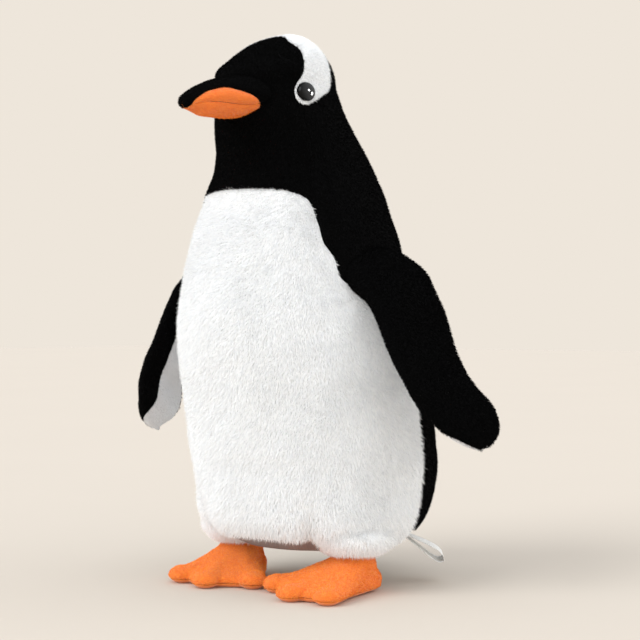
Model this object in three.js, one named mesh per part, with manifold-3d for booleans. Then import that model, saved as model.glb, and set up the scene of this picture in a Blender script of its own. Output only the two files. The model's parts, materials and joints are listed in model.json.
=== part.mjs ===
// Standing plush penguin, about 300 mm tall, stuffed and sewn from short plush.
// Millimetres, +Z up. The front faces -Y and the penguin's left side is +X.
// Skins are shells around their fillings, and neighbours keep a small seam gap.

import * as THREE from 'three';
import { mergeVertices } from 'three/addons/utils/BufferGeometryUtils.js';
import Module from 'manifold-3d';

const wasm = await Module();
wasm.setup();

// ---------------------------------------------------------------- driving sizes

const GAP = 0.3; // clearance between two pieces that touch
const SKIN = 2.5; // plush fabric with its pile backing
const THIN_SKIN = 2; // velour of the feet and the bill, lining of the flippers

const BASE_HEIGHT = 21; // underside of the base panel above the floor
const TRUNK_HEIGHT = 246; // base underside to the middle of the head
const TRUNK_HALF_WIDTH = 70.5;
const TRUNK_HALF_DEPTH = 64.2;
const HEAD_RADIUS = 32;
const HEAD_RISE = 0.953 * HEAD_RADIUS; // crown above the middle of the head
const HEAD_FORWARD = 24.5; // the head's middle in front of the body axis

const BASE_SEAM = 3; // base panel turns up this far above the base underside
const BIB_HEIGHT = 0.7785 * TRUNK_HEIGHT; // top edge of the white bib above the base underside
const NECK_SPLIT = 0.813 * TRUNK_HEIGHT; // torso filling meets head filling this far above the base
const BAG_RADIUS = 0.56 * Math.min(TRUNK_HALF_WIDTH, TRUNK_HALF_DEPTH) - SKIN; // pellets that weight the seat
const BAG_HEIGHT = 30;

const BILL_REACH = 39; // bill tip in front of the head's surface
const BILL_HALF_WIDTH = 14.5;
const BILL_HALF_HEIGHT = 13.5;
const BILL_DROP = 6.5; // bill axis below the head's middle at the root
const BILL_DROOP = 7; // further drop of the bill axis at the tip
const MOUTH_DROP = 10.5; // mouth line below the head's middle
const CULMEN_DROP = 4; // black ridge panel ends this far below the head's middle

const EYE_ANGLE = 70; // degrees round from the front
const EYE_DROP = 0.166 * HEAD_RADIUS; // below the middle of the head
const EYE_RADIUS = 5.3;
const EYE_DOME = 3.2;
const EYE_STEM_RADIUS = 1.6;
const EYE_STEM_LENGTH = 9;
const WASHER_RADIUS = 6;
const WASHER_THICKNESS = 1.5;

const FLIPPER_LENGTH = 124;
const FLIPPER_HALF_CHORD = 24;
const FLIPPER_HALF_THICKNESS = 6;
const FLIPPER_TILT = 27.5; // degrees out from hanging straight down
const FLIPPER_PRESS = 8; // degrees that it can be pressed in towards the flank
const FLIPPER_LIFT = 70; // degrees that it can be lifted
const FLIPPER_ROOT_HEIGHT = 0.679 * TRUNK_HEIGHT; // hinge seam above the base underside
const FLIPPER_ROOT_OUT = 1.5; // hinge seam outside the flank's widest line

const LEG_OUT = 40; // leg axis from the middle plane
const LEG_FORWARD = 8; // leg axis in front of the body axis
const LEG_RADIUS = 20;
const LEG_TOP = 26; // leg pieces reach this far above the base underside, then the body cuts them

const SOLE_THICKNESS = 2;
const ANKLE_HALF_WIDTH = 14;
const ANKLE_HEIGHT = 20; // top of the ankle's round above the sole, which the leg seam cuts off
const TOE_HEIGHT = 8;
const TOE_RADIUS = 9;
const WEB_HEIGHT = 7;
const HEEL_RADIUS = 13;
const HEEL_BACK = 12; // heel's round middle behind the leg axis
const TOES = [
  { out: 9, forward: 33 }, // toe tips from the leg axis
  { out: -13, forward: 38 },
  { out: -30, forward: 28 },
];

const TAIL_REACH = 25;
const TAIL_HALF_WIDTH = 15;
const TAIL_HALF_HEIGHT = 6.5;
const TAIL_HEIGHT = 22; // tail axis above the base underside
const TAIL_SLOPE = 14; // degrees down

const LABEL_LENGTH = 25;
const LABEL_WIDTH = 15;
const LABEL_THICKNESS = 2.6;
const LABEL_ANGLE = 130; // degrees round from the front
const LABEL_SLOPE = 27; // degrees down

const BODY_SEGMENTS = 24;
const SMALL_SEGMENTS = 16;
const FAR = 400; // larger than the toy, for cutters

// Shares of the trunk's half width and half depth for a neck given in head radii.
const neck = (wide, deep) => [
  (wide * HEAD_RADIUS) / TRUNK_HALF_WIDTH,
  (deep * HEAD_RADIUS) / TRUNK_HALF_DEPTH,
];

// Share of the trunk height, share of the half width, share of the half depth, middle along Y.
const TRUNK_SHAPE = [
  [0, 0.56, 0.56, 6],
  [0.012, 0.675, 0.675, 6],
  [0.028, 0.79, 0.79, 6],
  [0.073, 0.912, 0.912, 6.4],
  [0.118, 0.957, 0.957, 7.3],
  [0.163, 0.983, 0.983, 7.6],
  [0.232, 0.998, 0.998, 5],
  [0.341, 1, 1, 0.6],
  [0.476, 0.963, 0.963, -7],
  [0.565, 0.906, 0.906, -9.5],
  [0.675, 0.83, 0.83, -9.8],
  [0.728, 0.766, 0.771, -10],
  [0.768, 0.72, 0.726, -10],
  [0.811, 0.655, 0.668, -10],
  [0.856, ...neck(1.313, 1.244), -12.5],
  [0.9, ...neck(1.207, 1.172), -17.6],
  [0.945, ...neck(1.119, 1.109), -22],
  [1, ...neck(1, 1), -HEAD_FORWARD],
];
const TRUNK_RINGS = [0, 0.012, 0.028, 0.06, 0.12, 0.2, 0.3, 0.4, 0.5, 0.6, 0.7, 0.78, 0.86, 0.93, 1];
const HEAD_LATITUDES = [18, 36, 54, 72];

// Side edge of the white bib: share of the trunk height, degrees round from the front.
const BIB_EDGE = [
  [0.028, 96], [0.1, 99], [0.18, 100], [0.3, 101], [0.4, 96], [0.484, 86], [0.565, 71], [0.62, 62],
  [0.665, 56.5], [0.71, 53], [0.757, 50],
];

// White band over the crown, in the side view: towards the back and up from the head's middle, for a
// head of BAND_HEAD_RADIUS.
const BAND_HEAD_RADIUS = 32;
const BAND_OUTLINE = [
  [5, 40], [1, 33], [-6.5, 25], [-8.5, 18], [-10, 13], [-13, 4], [-17, -3], [-17, -10], [-12, -12.5],
  [-5, -8], [4, -3.5], [8.5, 4], [11, 13], [14.5, 23], [18.5, 29], [21, 40],
];

// ---------------------------------------------------------------- small tools

const radians = THREE.MathUtils.degToRad;
const HEAD_MIDDLE = new THREE.Vector3(0, -HEAD_FORWARD, BASE_HEIGHT + TRUNK_HEIGHT);
const atShare = (share) => BASE_HEIGHT + share * TRUNK_HEIGHT;

function toSolid(geometry) {
  const bare = new THREE.BufferGeometry();
  bare.setAttribute('position', geometry.attributes.position);
  bare.setIndex(geometry.index);
  const merged = mergeVertices(bare, 1e-4);
  const index = Array.from(merged.index.array);
  const kept = [];
  for (let i = 0; i < index.length; i += 3) {
    const [a, b, c] = index.slice(i, i + 3);
    if (a !== b && b !== c && c !== a) kept.push(a, b, c);
  }
  const vertProperties = new Float32Array(merged.attributes.position.array);
  return new wasm.Manifold(new wasm.Mesh({ numProp: 3, vertProperties, triVerts: new Uint32Array(kept) }));
}

function toGeometry(solid) {
  const mesh = solid.getMesh();
  const geometry = new THREE.BufferGeometry();
  geometry.setAttribute('position', new THREE.BufferAttribute(mesh.vertProperties, 3));
  geometry.setIndex(new THREE.BufferAttribute(mesh.triVerts, 1));
  geometry.computeVertexNormals();
  return geometry;
}

// Elliptical rings stacked along Z and closed at both ends. The angle runs from -Y towards +X.
function loft(rings, lowEnd, highEnd, segments) {
  const profile = [new THREE.Vector2(0, -1)];
  rings.forEach((ring, level) => profile.push(new THREE.Vector2(1, level)));
  profile.push(new THREE.Vector2(0, rings.length));
  const geometry = new THREE.LatheGeometry(profile, segments);
  const stack = [lowEnd, ...rings, highEnd];
  const position = geometry.attributes.position;
  for (let i = 0; i < position.count; i += 1) {
    const ring = stack[Math.round(position.getY(i)) + 1];
    const x = position.getX(i) * ring.halfWidth;
    const y = ring.y - position.getZ(i) * ring.halfDepth;
    position.setXYZ(i, x, y, ring.z);
  }
  return toSolid(geometry);
}

// A prism along X from an outline in the side view, given as [y, z] points.
function sidePrism(outline) {
  const shape = new THREE.Shape(outline.map(([y, z]) => new THREE.Vector2(y, z)));
  const geometry = new THREE.ExtrudeGeometry(shape, { depth: 2 * FAR, bevelEnabled: false });
  const turn = new THREE.Matrix4().makeBasis(
    new THREE.Vector3(0, 1, 0),
    new THREE.Vector3(0, 0, 1),
    new THREE.Vector3(1, 0, 0),
  );
  geometry.applyMatrix4(turn);
  geometry.translate(-FAR, 0, 0);
  return toSolid(geometry);
}

// Moves every corner of a closed outline outwards by an amount.
function grown(outline, amount) {
  const area = outline.reduce((sum, [x, y], i) => {
    const [nextX, nextY] = outline[(i + 1) % outline.length];
    return sum + x * nextY - nextX * y;
  }, 0);
  const sign = Math.sign(area);
  return outline.map(([x, y], i) => {
    const before = outline[(i + outline.length - 1) % outline.length];
    const after = outline[(i + 1) % outline.length];
    const along = new THREE.Vector2(after[0] - before[0], after[1] - before[1]).normalize();
    return [x + sign * amount * along.y, y - sign * amount * along.x];
  });
}

function box(low, high) {
  const size = new THREE.Vector3().subVectors(high, low);
  const geometry = new THREE.BoxGeometry(size.x, size.y, size.z);
  geometry.translate(low.x + size.x / 2, low.y + size.y / 2, low.z + size.z / 2);
  return toSolid(geometry);
}

const below = (z) => box(new THREE.Vector3(-FAR, -FAR, -FAR), new THREE.Vector3(FAR, FAR, z));
const above = (z) => box(new THREE.Vector3(-FAR, -FAR, z), new THREE.Vector3(FAR, FAR, FAR * 2));
const leftOf = (x) => box(new THREE.Vector3(x, -FAR, -FAR), new THREE.Vector3(FAR, FAR, FAR * 2));

function upright(radius, low, high, x, y) {
  const geometry = new THREE.CylinderGeometry(radius, radius, high - low, SMALL_SEGMENTS);
  geometry.rotateX(Math.PI / 2);
  geometry.translate(x, y, (low + high) / 2);
  return toSolid(geometry);
}

const placed = (solid, matrix) => solid.transform(matrix.elements);
const mirrored = (solid) => solid.mirror([1, 0, 0]);

// ---------------------------------------------------------------- body form

const trunkCurve = new THREE.CubicInterpolant(
  TRUNK_SHAPE.map((row) => row[0]),
  TRUNK_SHAPE.flatMap((row) => row.slice(1)),
  3,
);

function trunkRing(share) {
  const [width, depth, y] = trunkCurve.evaluate(share);
  return { z: atShare(share), halfWidth: width * TRUNK_HALF_WIDTH, halfDepth: depth * TRUNK_HALF_DEPTH, y };
}

function headRing(latitude) {
  const radius = HEAD_RADIUS * Math.cos(radians(latitude));
  const z = HEAD_MIDDLE.z + HEAD_RISE * Math.sin(radians(latitude));
  return { z, halfWidth: radius, halfDepth: radius, y: HEAD_MIDDLE.y };
}

// The whole outer form of trunk, neck and head, taken in by an amount on every side.
function bodyForm(inset) {
  const top = HEAD_MIDDLE.z + HEAD_RISE;
  const scale = (top - BASE_HEIGHT - 2 * inset) / (top - BASE_HEIGHT);
  const lift = (z) => BASE_HEIGHT + inset + (z - BASE_HEIGHT) * scale;
  const rings = [...TRUNK_RINGS.map(trunkRing), ...HEAD_LATITUDES.map(headRing)]
    .map((ring) => ({
      z: lift(ring.z),
      halfWidth: ring.halfWidth - inset,
      halfDepth: ring.halfDepth - inset,
      y: ring.y,
    }))
    .filter((ring) => ring.halfWidth > 2);
  const lowEnd = { z: lift(BASE_HEIGHT), halfWidth: 0, halfDepth: 0, y: rings[0].y };
  const highEnd = { z: lift(top), halfWidth: 0, halfDepth: 0, y: HEAD_MIDDLE.y };
  return loft(rings, lowEnd, highEnd, BODY_SEGMENTS);
}

const outerBody = bodyForm(0);
const clearOfBody = bodyForm(-GAP);
const insideSkin = bodyForm(SKIN);
const stuffing = bodyForm(SKIN + GAP).intersect(insideSkin).intersect(mirrored(insideSkin)); // same both sides

// ---------------------------------------------------------------- eyes

const eyeTurn = radians(EYE_ANGLE);
const eyeOut = new THREE.Vector3(Math.sin(eyeTurn), -Math.cos(eyeTurn), -EYE_DROP / HEAD_RADIUS).normalize();

// Matrix that carries a piece built along +Y at the origin to the eye, facing out.
function eyeMatrix() {
  const turn = new THREE.Quaternion().setFromUnitVectors(new THREE.Vector3(0, 1, 0), eyeOut);
  return new THREE.Matrix4().compose(HEAD_MIDDLE, turn, new THREE.Vector3(1, 1, 1));
}

function lathed(points, segments) {
  return toSolid(new THREE.LatheGeometry(points.map(([r, y]) => new THREE.Vector2(r, y)), segments));
}

// A domed button whose back follows the head, with a stem through the fabric.
function eyeSolid() {
  const back = HEAD_RADIUS - GAP;
  const points = [[0, back], [EYE_RADIUS, back]];
  for (let step = 0; step <= 5; step += 1) {
    const angle = (step / 6) * (Math.PI / 2);
    points.push([EYE_RADIUS * Math.cos(angle), HEAD_RADIUS + 1 + (EYE_DOME - 1) * Math.sin(angle)]);
  }
  points.push([0, HEAD_RADIUS + EYE_DOME]);
  const dome = placed(lathed(points, SMALL_SEGMENTS), eyeMatrix()).subtract(clearOfBody);
  return dome.add(cylinderAlongEye(EYE_STEM_RADIUS, HEAD_RADIUS - EYE_STEM_LENGTH, HEAD_RADIUS + 2));
}

const facetSag = HEAD_RADIUS * 0.04; // the faceted, slightly flat head lies this far inside a ball, at most
const washerTop = HEAD_RADIUS - SKIN - GAP - WASHER_RADIUS ** 2 / (2 * (HEAD_RADIUS - SKIN)) - facetSag;

function washerSolid() {
  const hole = EYE_STEM_RADIUS + GAP;
  const low = washerTop - WASHER_THICKNESS;
  const points = [
    [hole, low], [WASHER_RADIUS, low], [WASHER_RADIUS, washerTop], [hole, washerTop], [hole, low],
  ];
  return lathed(points, SMALL_SEGMENTS);
}

function cylinderAlongEye(radius, low, high) {
  return placed(lathed([[0, low], [radius, low], [radius, high], [0, high]], SMALL_SEGMENTS), eyeMatrix());
}

function withEyeHoles(solid, radius, low) {
  const hole = cylinderAlongEye(radius, low, HEAD_RADIUS + 5);
  return solid.subtract(hole).subtract(mirrored(hole));
}

const stemRoom = EYE_STEM_RADIUS + GAP;

// ---------------------------------------------------------------- body skins

const skin = outerBody.subtract(insideSkin);
const baseSeam = BASE_HEIGHT + BASE_SEAM;
const bibTop = BASE_HEIGHT + BIB_HEIGHT;

function bibOutline(grow) {
  const edge = BIB_EDGE.map(([share, angle]) => {
    const ring = trunkRing(share);
    return [ring.y - ring.halfDepth * Math.cos(radians(angle)) + grow, ring.z];
  });
  const [topY] = edge[edge.length - 1];
  return [[-FAR, 0], [edge[0][0], 0], ...edge, [topY, bibTop + grow], [-FAR, bibTop + grow]];
}

const bandScale = HEAD_RADIUS / BAND_HEAD_RADIUS;
const bandOutline = BAND_OUTLINE.map(([y, z]) => [
  HEAD_MIDDLE.y + y * bandScale,
  HEAD_MIDDLE.z + z * bandScale,
]);

// Points along the middle of the band, from its foot behind the eye up to the crown.
const bandSpine = [[7, 8], [5, 10], [3, 12], [1, 14], [0, 15]].map(([front, back]) => [
  (bandOutline[front][0] + bandOutline[back][0]) / 2,
  (bandOutline[front][1] + bandOutline[back][1]) / 2,
]);

function faceOutline(grow) {
  const bibCorner = bibOutline(0)[BIB_EDGE.length + 1][0];
  const rearEdge = [[bibCorner, bibTop], ...bandSpine].map(([y, z]) => [y + grow, z]);
  return [[-FAR, bibTop], ...rearEdge, [-FAR, rearEdge[rearEdge.length - 1][1]]];
}

const raised = skin.subtract(below(baseSeam + GAP));
const black = raised.subtract(sidePrism(bibOutline(GAP)));
const bandless = black.subtract(sidePrism(grown(bandOutline, GAP)));
const rear = bandless.subtract(sidePrism(faceOutline(GAP)));

const basePanel = skin.intersect(below(baseSeam));
const bellyPanel = raised.intersect(sidePrism(bibOutline(0)));
const browBand = withEyeHoles(black.intersect(sidePrism(bandOutline)), stemRoom, 0);
const facePanel = withEyeHoles(bandless.intersect(sidePrism(faceOutline(0))), stemRoom, 0);
const backLeft = rear.intersect(leftOf(GAP / 2));

// ---------------------------------------------------------------- fillings

const splitHeight = BASE_HEIGHT + NECK_SPLIT;
const bagLow = BASE_HEIGHT + SKIN + GAP;

// Flat at the bottom and domed on top. Room is added all round for the recess that holds it.
function pelletBag(room) {
  const points = [[0, bagLow - room], [BAG_RADIUS + room, bagLow - room]];
  for (let step = 0; step <= 5; step += 1) {
    const angle = (step / 6) * (Math.PI / 2);
    const height = bagLow + 4 + (BAG_HEIGHT - 4 + room) * Math.sin(angle);
    points.push([(BAG_RADIUS + room) * Math.cos(angle), height]);
  }
  points.push([0, bagLow + BAG_HEIGHT + room]);
  const upturn = new THREE.Matrix4().makeRotationX(Math.PI / 2).setPosition(0, TRUNK_SHAPE[0][3], 0);
  return placed(lathed(points, SMALL_SEGMENTS), upturn);
}

const bagRoom = pelletBag(GAP).add(upright(BAG_RADIUS + GAP, 0, bagLow + 1, 0, TRUNK_SHAPE[0][3]));
const torsoFilling = stuffing.intersect(below(splitHeight)).subtract(bagRoom);
const headBlock = stuffing.intersect(above(splitHeight + GAP));
const headFilling = withEyeHoles(
  withEyeHoles(headBlock, WASHER_RADIUS + GAP, washerTop - WASHER_THICKNESS - GAP),
  stemRoom,
  HEAD_RADIUS - EYE_STEM_LENGTH - GAP,
);

// ---------------------------------------------------------------- bill

// Share of the reach, share of the half width, share of the half height.
const BILL_SHAPE = [[-0.3, 1.05, 1.05], [0, 1, 1], [0.35, 0.8, 0.85], [0.65, 0.6, 0.66], [0.85, 0.44, 0.5],
  [0.96, 0.25, 0.3]];

// Built along +Z from the head's surface, then laid forward along -Y.
function billForm(inset) {
  const rings = BILL_SHAPE.map(([share, width, height]) => ({
    z: share * BILL_REACH - (share > 0.5 ? inset : 0),
    halfWidth: width * BILL_HALF_WIDTH - inset,
    halfDepth: height * BILL_HALF_HEIGHT - inset,
    y: -BILL_DROOP * Math.max(share, 0) ** 1.5,
  })).filter((ring) => ring.halfWidth > 1 && ring.halfDepth > 1);
  const lowEnd = { ...rings[0], halfWidth: 0, halfDepth: 0 };
  const highEnd = { z: BILL_REACH - inset, halfWidth: 0, halfDepth: 0, y: -BILL_DROOP };
  const forward = new THREE.Matrix4().makeRotationX(Math.PI / 2);
  forward.setPosition(0, HEAD_MIDDLE.y - HEAD_RADIUS, HEAD_MIDDLE.z - BILL_DROP);
  return placed(loft(rings, lowEnd, highEnd, SMALL_SEGMENTS), forward);
}

const billRoot = HEAD_MIDDLE.y;
const billTip = HEAD_MIDDLE.y - HEAD_RADIUS - BILL_REACH;
const mouthHeight = HEAD_MIDDLE.z - MOUTH_DROP;
const culmenHeight = HEAD_MIDDLE.z - CULMEN_DROP;
const tipFold = billTip + 0.16 * BILL_REACH; // the black ridge folds down over the tip ahead of this

function culmenOutline(grow) {
  return [
    [billRoot, culmenHeight + 1 - grow], [tipFold, culmenHeight - 3 - grow],
    [tipFold + grow, mouthHeight - 2 - grow], [tipFold + grow, HEAD_MIDDLE.z - 40], [-FAR, HEAD_MIDDLE.z - 40],
    [-FAR, FAR], [billRoot, FAR],
  ];
}

function mouthOutline(grow) {
  return [
    [billRoot, mouthHeight + grow], [tipFold, mouthHeight - 2.5 + grow], [-FAR, mouthHeight - 2.5 + grow],
    [-FAR, 0], [billRoot, 0],
  ];
}

const billSkin = billForm(0).subtract(billForm(THIN_SKIN)).subtract(clearOfBody);
const culmenPanel = billSkin.intersect(sidePrism(culmenOutline(0)));
const orangeBill = billSkin.subtract(sidePrism(culmenOutline(GAP)));
const lowerBill = orangeBill.intersect(sidePrism(mouthOutline(0)));
const upperBill = orangeBill.subtract(sidePrism(mouthOutline(GAP)));
const billFilling = billForm(THIN_SKIN + GAP).subtract(clearOfBody);

// ---------------------------------------------------------------- flippers

// Share of the length, share of the half chord, share of the half thickness, middle along Y.
const FLIPPER_SHAPE = [
  [0.97, 0.33, 0.45, 0], [0.93, 0.6, 0.68, -1.5], [0.87, 0.8, 0.85, -4], [0.77, 0.88, 0.95, -9],
  [0.62, 0.93, 1, -13], [0.4, 1, 1, -11.5], [0.2, 1, 1, -10], [0.08, 0.92, 0.9, -9], [-0.01, 0.74, 0.5, -8],
];

const hingeHeight = BASE_HEIGHT + FLIPPER_ROOT_HEIGHT;
const hingeOut = trunkRing(FLIPPER_ROOT_HEIGHT / TRUNK_HEIGHT).halfWidth + FLIPPER_ROOT_OUT;
const flipperPlace = new THREE.Matrix4()
  .makeRotationY(-radians(FLIPPER_TILT))
  .setPosition(hingeOut, 0, hingeHeight);

// The left blade hangs down along -Z from its hinge seam along Y.
function flipperForm(inset) {
  const rings = FLIPPER_SHAPE.map(([share, chord, thickness, y]) => ({
    z: -share * FLIPPER_LENGTH + (share > 0.5 ? inset : -inset),
    halfWidth: thickness * FLIPPER_HALF_THICKNESS - inset,
    halfDepth: chord * FLIPPER_HALF_CHORD - inset,
    y,
  })).filter((ring) => ring.halfWidth > 0.4);
  const [tip] = rings;
  const root = rings[rings.length - 1];
  const lowEnd = { z: -FLIPPER_LENGTH + inset, halfWidth: 0, halfDepth: 0, y: tip.y };
  const highEnd = { z: root.z + 1, halfWidth: 0, halfDepth: 0, y: root.y };
  return loft(rings, lowEnd, highEnd, SMALL_SEGMENTS);
}

// The body as the blade meets it, pressed in, hanging at rest and lifted part of the way.
const bodyAtBlade = placed(bodyForm(-2 * GAP), flipperPlace.clone().invert());
const bodyPlaces = [-FLIPPER_PRESS, 0, FLIPPER_LIFT / 4, FLIPPER_LIFT / 2, FLIPPER_LIFT * 0.7]
  .map((angle) => placed(bodyAtBlade, new THREE.Matrix4().makeRotationY(radians(angle))));
const bladeTrim = (solid) => bodyPlaces.reduce((rest, body) => rest.subtract(body), solid);

const flipperSkin = bladeTrim(flipperForm(0).subtract(flipperForm(THIN_SKIN)));
const flipperOuter = flipperSkin.intersect(leftOf(GAP / 2));
const flipperLining = flipperSkin.subtract(leftOf(-GAP / 2));
const flipperWadding = bladeTrim(flipperForm(THIN_SKIN + GAP));

// ---------------------------------------------------------------- legs and feet

const legLow = BASE_HEIGHT - 2 * GAP;
const legHigh = BASE_HEIGHT + LEG_TOP;
const legAxis = new THREE.Vector2(LEG_OUT, -LEG_FORWARD);
const legTrim = (solid) => solid.subtract(clearOfBody);

const legFilling = legTrim(upright(LEG_RADIUS - SKIN - GAP, legLow, legHigh, legAxis.x, legAxis.y));
const legBore = upright(LEG_RADIUS - SKIN, legLow - 1, legHigh + 1, legAxis.x, legAxis.y);
const legCuff = legTrim(upright(LEG_RADIUS, legLow, legHigh, legAxis.x, legAxis.y)).subtract(legBore);

// A roll lying on the sole from the ankle to a plan point, thick at the ankle and slim at the end.
function toeRoll(tip, width, height, inset) {
  const span = new THREE.Vector2().subVectors(tip, legAxis);
  const length = span.length();
  const geometry = new THREE.CapsuleGeometry(1, length, 3, 10);
  geometry.rotateZ(-Math.PI / 2);
  const position = geometry.attributes.position;
  for (let i = 0; i < position.count; i += 1) {
    const x = position.getX(i) + length / 2;
    const share = THREE.MathUtils.clamp(x / length, 0, 1);
    const halfWidth = THREE.MathUtils.lerp(ANKLE_HALF_WIDTH, width, share) - inset;
    const rise = THREE.MathUtils.lerp(ANKLE_HEIGHT, height, share) - inset;
    const beyond = THREE.MathUtils.clamp(x, 0, length) + (x - THREE.MathUtils.clamp(x, 0, length)) * halfWidth;
    position.setXYZ(i, beyond, position.getY(i) * halfWidth, position.getZ(i) * rise);
  }
  geometry.rotateZ(span.angle());
  geometry.translate(legAxis.x, legAxis.y, SOLE_THICKNESS);
  return toSolid(geometry);
}

const toeTip = (toe) => new THREE.Vector2(legAxis.x + toe.out, legAxis.y - toe.forward);
const heel = new THREE.Vector2(legAxis.x + 1, legAxis.y + HEEL_BACK);

function webShape(inset) {
  const corners = [...TOES.map(toeTip), heel];
  const middle = corners.reduce((sum, corner) => sum.add(corner), new THREE.Vector2()).divideScalar(corners.length);
  return new THREE.Shape(corners.map((corner) => {
    const inwards = new THREE.Vector2().subVectors(middle, corner).setLength(3 + inset);
    return corner.clone().add(inwards);
  }));
}

function plate(shape, low, high) {
  const geometry = new THREE.ExtrudeGeometry(shape, { depth: high - low, bevelEnabled: false });
  geometry.translate(0, 0, low);
  return toSolid(geometry);
}

function footForm(inset) {
  let form = toeRoll(heel, HEEL_RADIUS, ANKLE_HEIGHT - 2, inset);
  for (const toe of TOES) {
    form = form.add(toeRoll(toeTip(toe), TOE_RADIUS, TOE_HEIGHT, inset));
  }
  return form
    .add(plate(webShape(inset), -1, SOLE_THICKNESS + WEB_HEIGHT - inset))
    .intersect(below(legLow - GAP - inset));
}

function soleForm() {
  let form = null;
  for (const [tip, radius] of [[heel, HEEL_RADIUS], ...TOES.map((toe) => [toeTip(toe), TOE_RADIUS])]) {
    const span = new THREE.Vector2().subVectors(tip, legAxis);
    const turn = span.angle();
    const shape = new THREE.Shape();
    shape.absarc(legAxis.x, legAxis.y, ANKLE_HALF_WIDTH, turn + Math.PI / 2, turn + Math.PI * 1.5, false);
    shape.absarc(tip.x, tip.y, radius, turn - Math.PI / 2, turn + Math.PI / 2, false);
    const roll = toSolid(new THREE.ExtrudeGeometry(shape, {
      depth: SOLE_THICKNESS,
      bevelEnabled: false,
      curveSegments: 6,
    }));
    form = form ? form.add(roll) : roll;
  }
  return form.add(plate(webShape(0), 0, SOLE_THICKNESS));
}

const aboveSole = above(SOLE_THICKNESS + GAP);
const footUpper = footForm(0).subtract(footForm(THIN_SKIN)).intersect(aboveSole);
const footFilling = footForm(THIN_SKIN + GAP).intersect(aboveSole);
const footSole = soleForm();

// ---------------------------------------------------------------- tail and label

// Share of the reach, share of the half width, share of the half height.
const TAIL_SHAPE = [[-0.5, 1, 1], [0.25, 0.92, 0.95], [0.65, 0.7, 0.72], [0.9, 0.4, 0.4]];

function tailForm(inset) {
  const ring = trunkRing(TAIL_HEIGHT / TRUNK_HEIGHT);
  const rings = TAIL_SHAPE.map(([share, width, height]) => ({
    z: share * TAIL_REACH - (share > 0.5 ? inset : 0),
    halfWidth: width * TAIL_HALF_WIDTH - inset,
    halfDepth: height * TAIL_HALF_HEIGHT - inset,
    y: 0,
  })).filter((row) => row.halfDepth > 0.5);
  const lowEnd = { ...rings[0], halfWidth: 0, halfDepth: 0 };
  const highEnd = { z: TAIL_REACH - inset, halfWidth: 0, halfDepth: 0, y: 0 };
  const back = new THREE.Matrix4().makeRotationX(-Math.PI / 2 - radians(TAIL_SLOPE));
  back.setPosition(0, ring.y + ring.halfDepth, BASE_HEIGHT + TAIL_HEIGHT);
  return placed(loft(rings, lowEnd, highEnd, SMALL_SEGMENTS), back);
}

function tailSplit(grow) {
  const ring = trunkRing(TAIL_HEIGHT / TRUNK_HEIGHT);
  const start = [ring.y, BASE_HEIGHT + TAIL_HEIGHT + ring.halfDepth * Math.tan(radians(TAIL_SLOPE)) + grow];
  const fall = (FAR - ring.y) * Math.tan(radians(TAIL_SLOPE));
  return sidePrism([start, [FAR, start[1] - fall], [FAR, FAR], [ring.y, FAR]]);
}

const tailSkin = tailForm(0).subtract(tailForm(THIN_SKIN)).subtract(clearOfBody);
const tailTop = tailSkin.intersect(tailSplit(GAP / 2));
const tailUnder = tailSkin.subtract(tailSplit(-GAP / 2));
const tailFilling = tailForm(THIN_SKIN + GAP).subtract(clearOfBody);

function labelSolid() {
  const turn = radians(LABEL_ANGLE);
  const ring = trunkRing(BASE_SEAM / TRUNK_HEIGHT);
  const reach = ring.halfWidth + LABEL_LENGTH / 2 - 3;
  const geometry = new THREE.BoxGeometry(LABEL_LENGTH, LABEL_WIDTH, LABEL_THICKNESS, 3, 2, 1);
  geometry.rotateY(radians(LABEL_SLOPE));
  geometry.translate(reach, 0, baseSeam - Math.sin(radians(LABEL_SLOPE)) * LABEL_LENGTH / 2);
  geometry.rotateZ(turn - Math.PI / 2);
  geometry.translate(0, ring.y, 0);
  return toSolid(geometry).subtract(clearOfBody);
}

// ---------------------------------------------------------------- the scene graph

const finish = (color, roughness) => ({ color, roughness, metalness: 0 });
const BLACK_PLUSH = finish(0x0b0b0c, 0.95);
const WHITE_PLUSH = finish(0xeef0f0, 0.95);
const WHITE_VELOUR = finish(0xdfe2e4, 0.85);
const GREY_COTTON = finish(0x8d8f92, 0.95);
const ORANGE_VELOUR = finish(0xe8701a, 0.85);
const STUFFING = finish(0xf4f4f0, 1);
const PELLETS = finish(0xe0ddd2, 0.8);
const BLACK_PLASTIC = finish(0x050505, 0.12);
const CLEAR_PLASTIC = finish(0xd8d8d4, 0.4);
const SATIN = finish(0xf2f2ef, 0.35);

const penguin = new THREE.Group();

function put(parent, name, solid, look) {
  const mesh = new THREE.Mesh(toGeometry(solid), new THREE.MeshStandardMaterial(look));
  mesh.name = name;
  parent.add(mesh);
}

function putPair(name, solid, look) {
  put(penguin, `${name}_left`, solid, look);
  put(penguin, `${name}_right`, mirrored(solid), look);
}

put(penguin, 'belly_panel', bellyPanel, WHITE_PLUSH);
put(penguin, 'face_panel', facePanel, BLACK_PLUSH);
put(penguin, 'brow_band', browBand, WHITE_PLUSH);
put(penguin, 'base_panel', basePanel, GREY_COTTON);
put(penguin, 'torso_filling', torsoFilling, STUFFING);
put(penguin, 'head_filling', headFilling, STUFFING);
put(penguin, 'pellet_bag', pelletBag(0), PELLETS);
put(penguin, 'culmen_panel', culmenPanel, BLACK_PLUSH);
put(penguin, 'upper_bill', upperBill, ORANGE_VELOUR);
put(penguin, 'lower_bill', lowerBill, ORANGE_VELOUR);
put(penguin, 'bill_filling', billFilling, STUFFING);
put(penguin, 'tail_top', tailTop, BLACK_PLUSH);
put(penguin, 'tail_under', tailUnder, BLACK_PLUSH);
put(penguin, 'tail_filling', tailFilling, STUFFING);
put(penguin, 'care_label', labelSolid(), SATIN);

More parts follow.
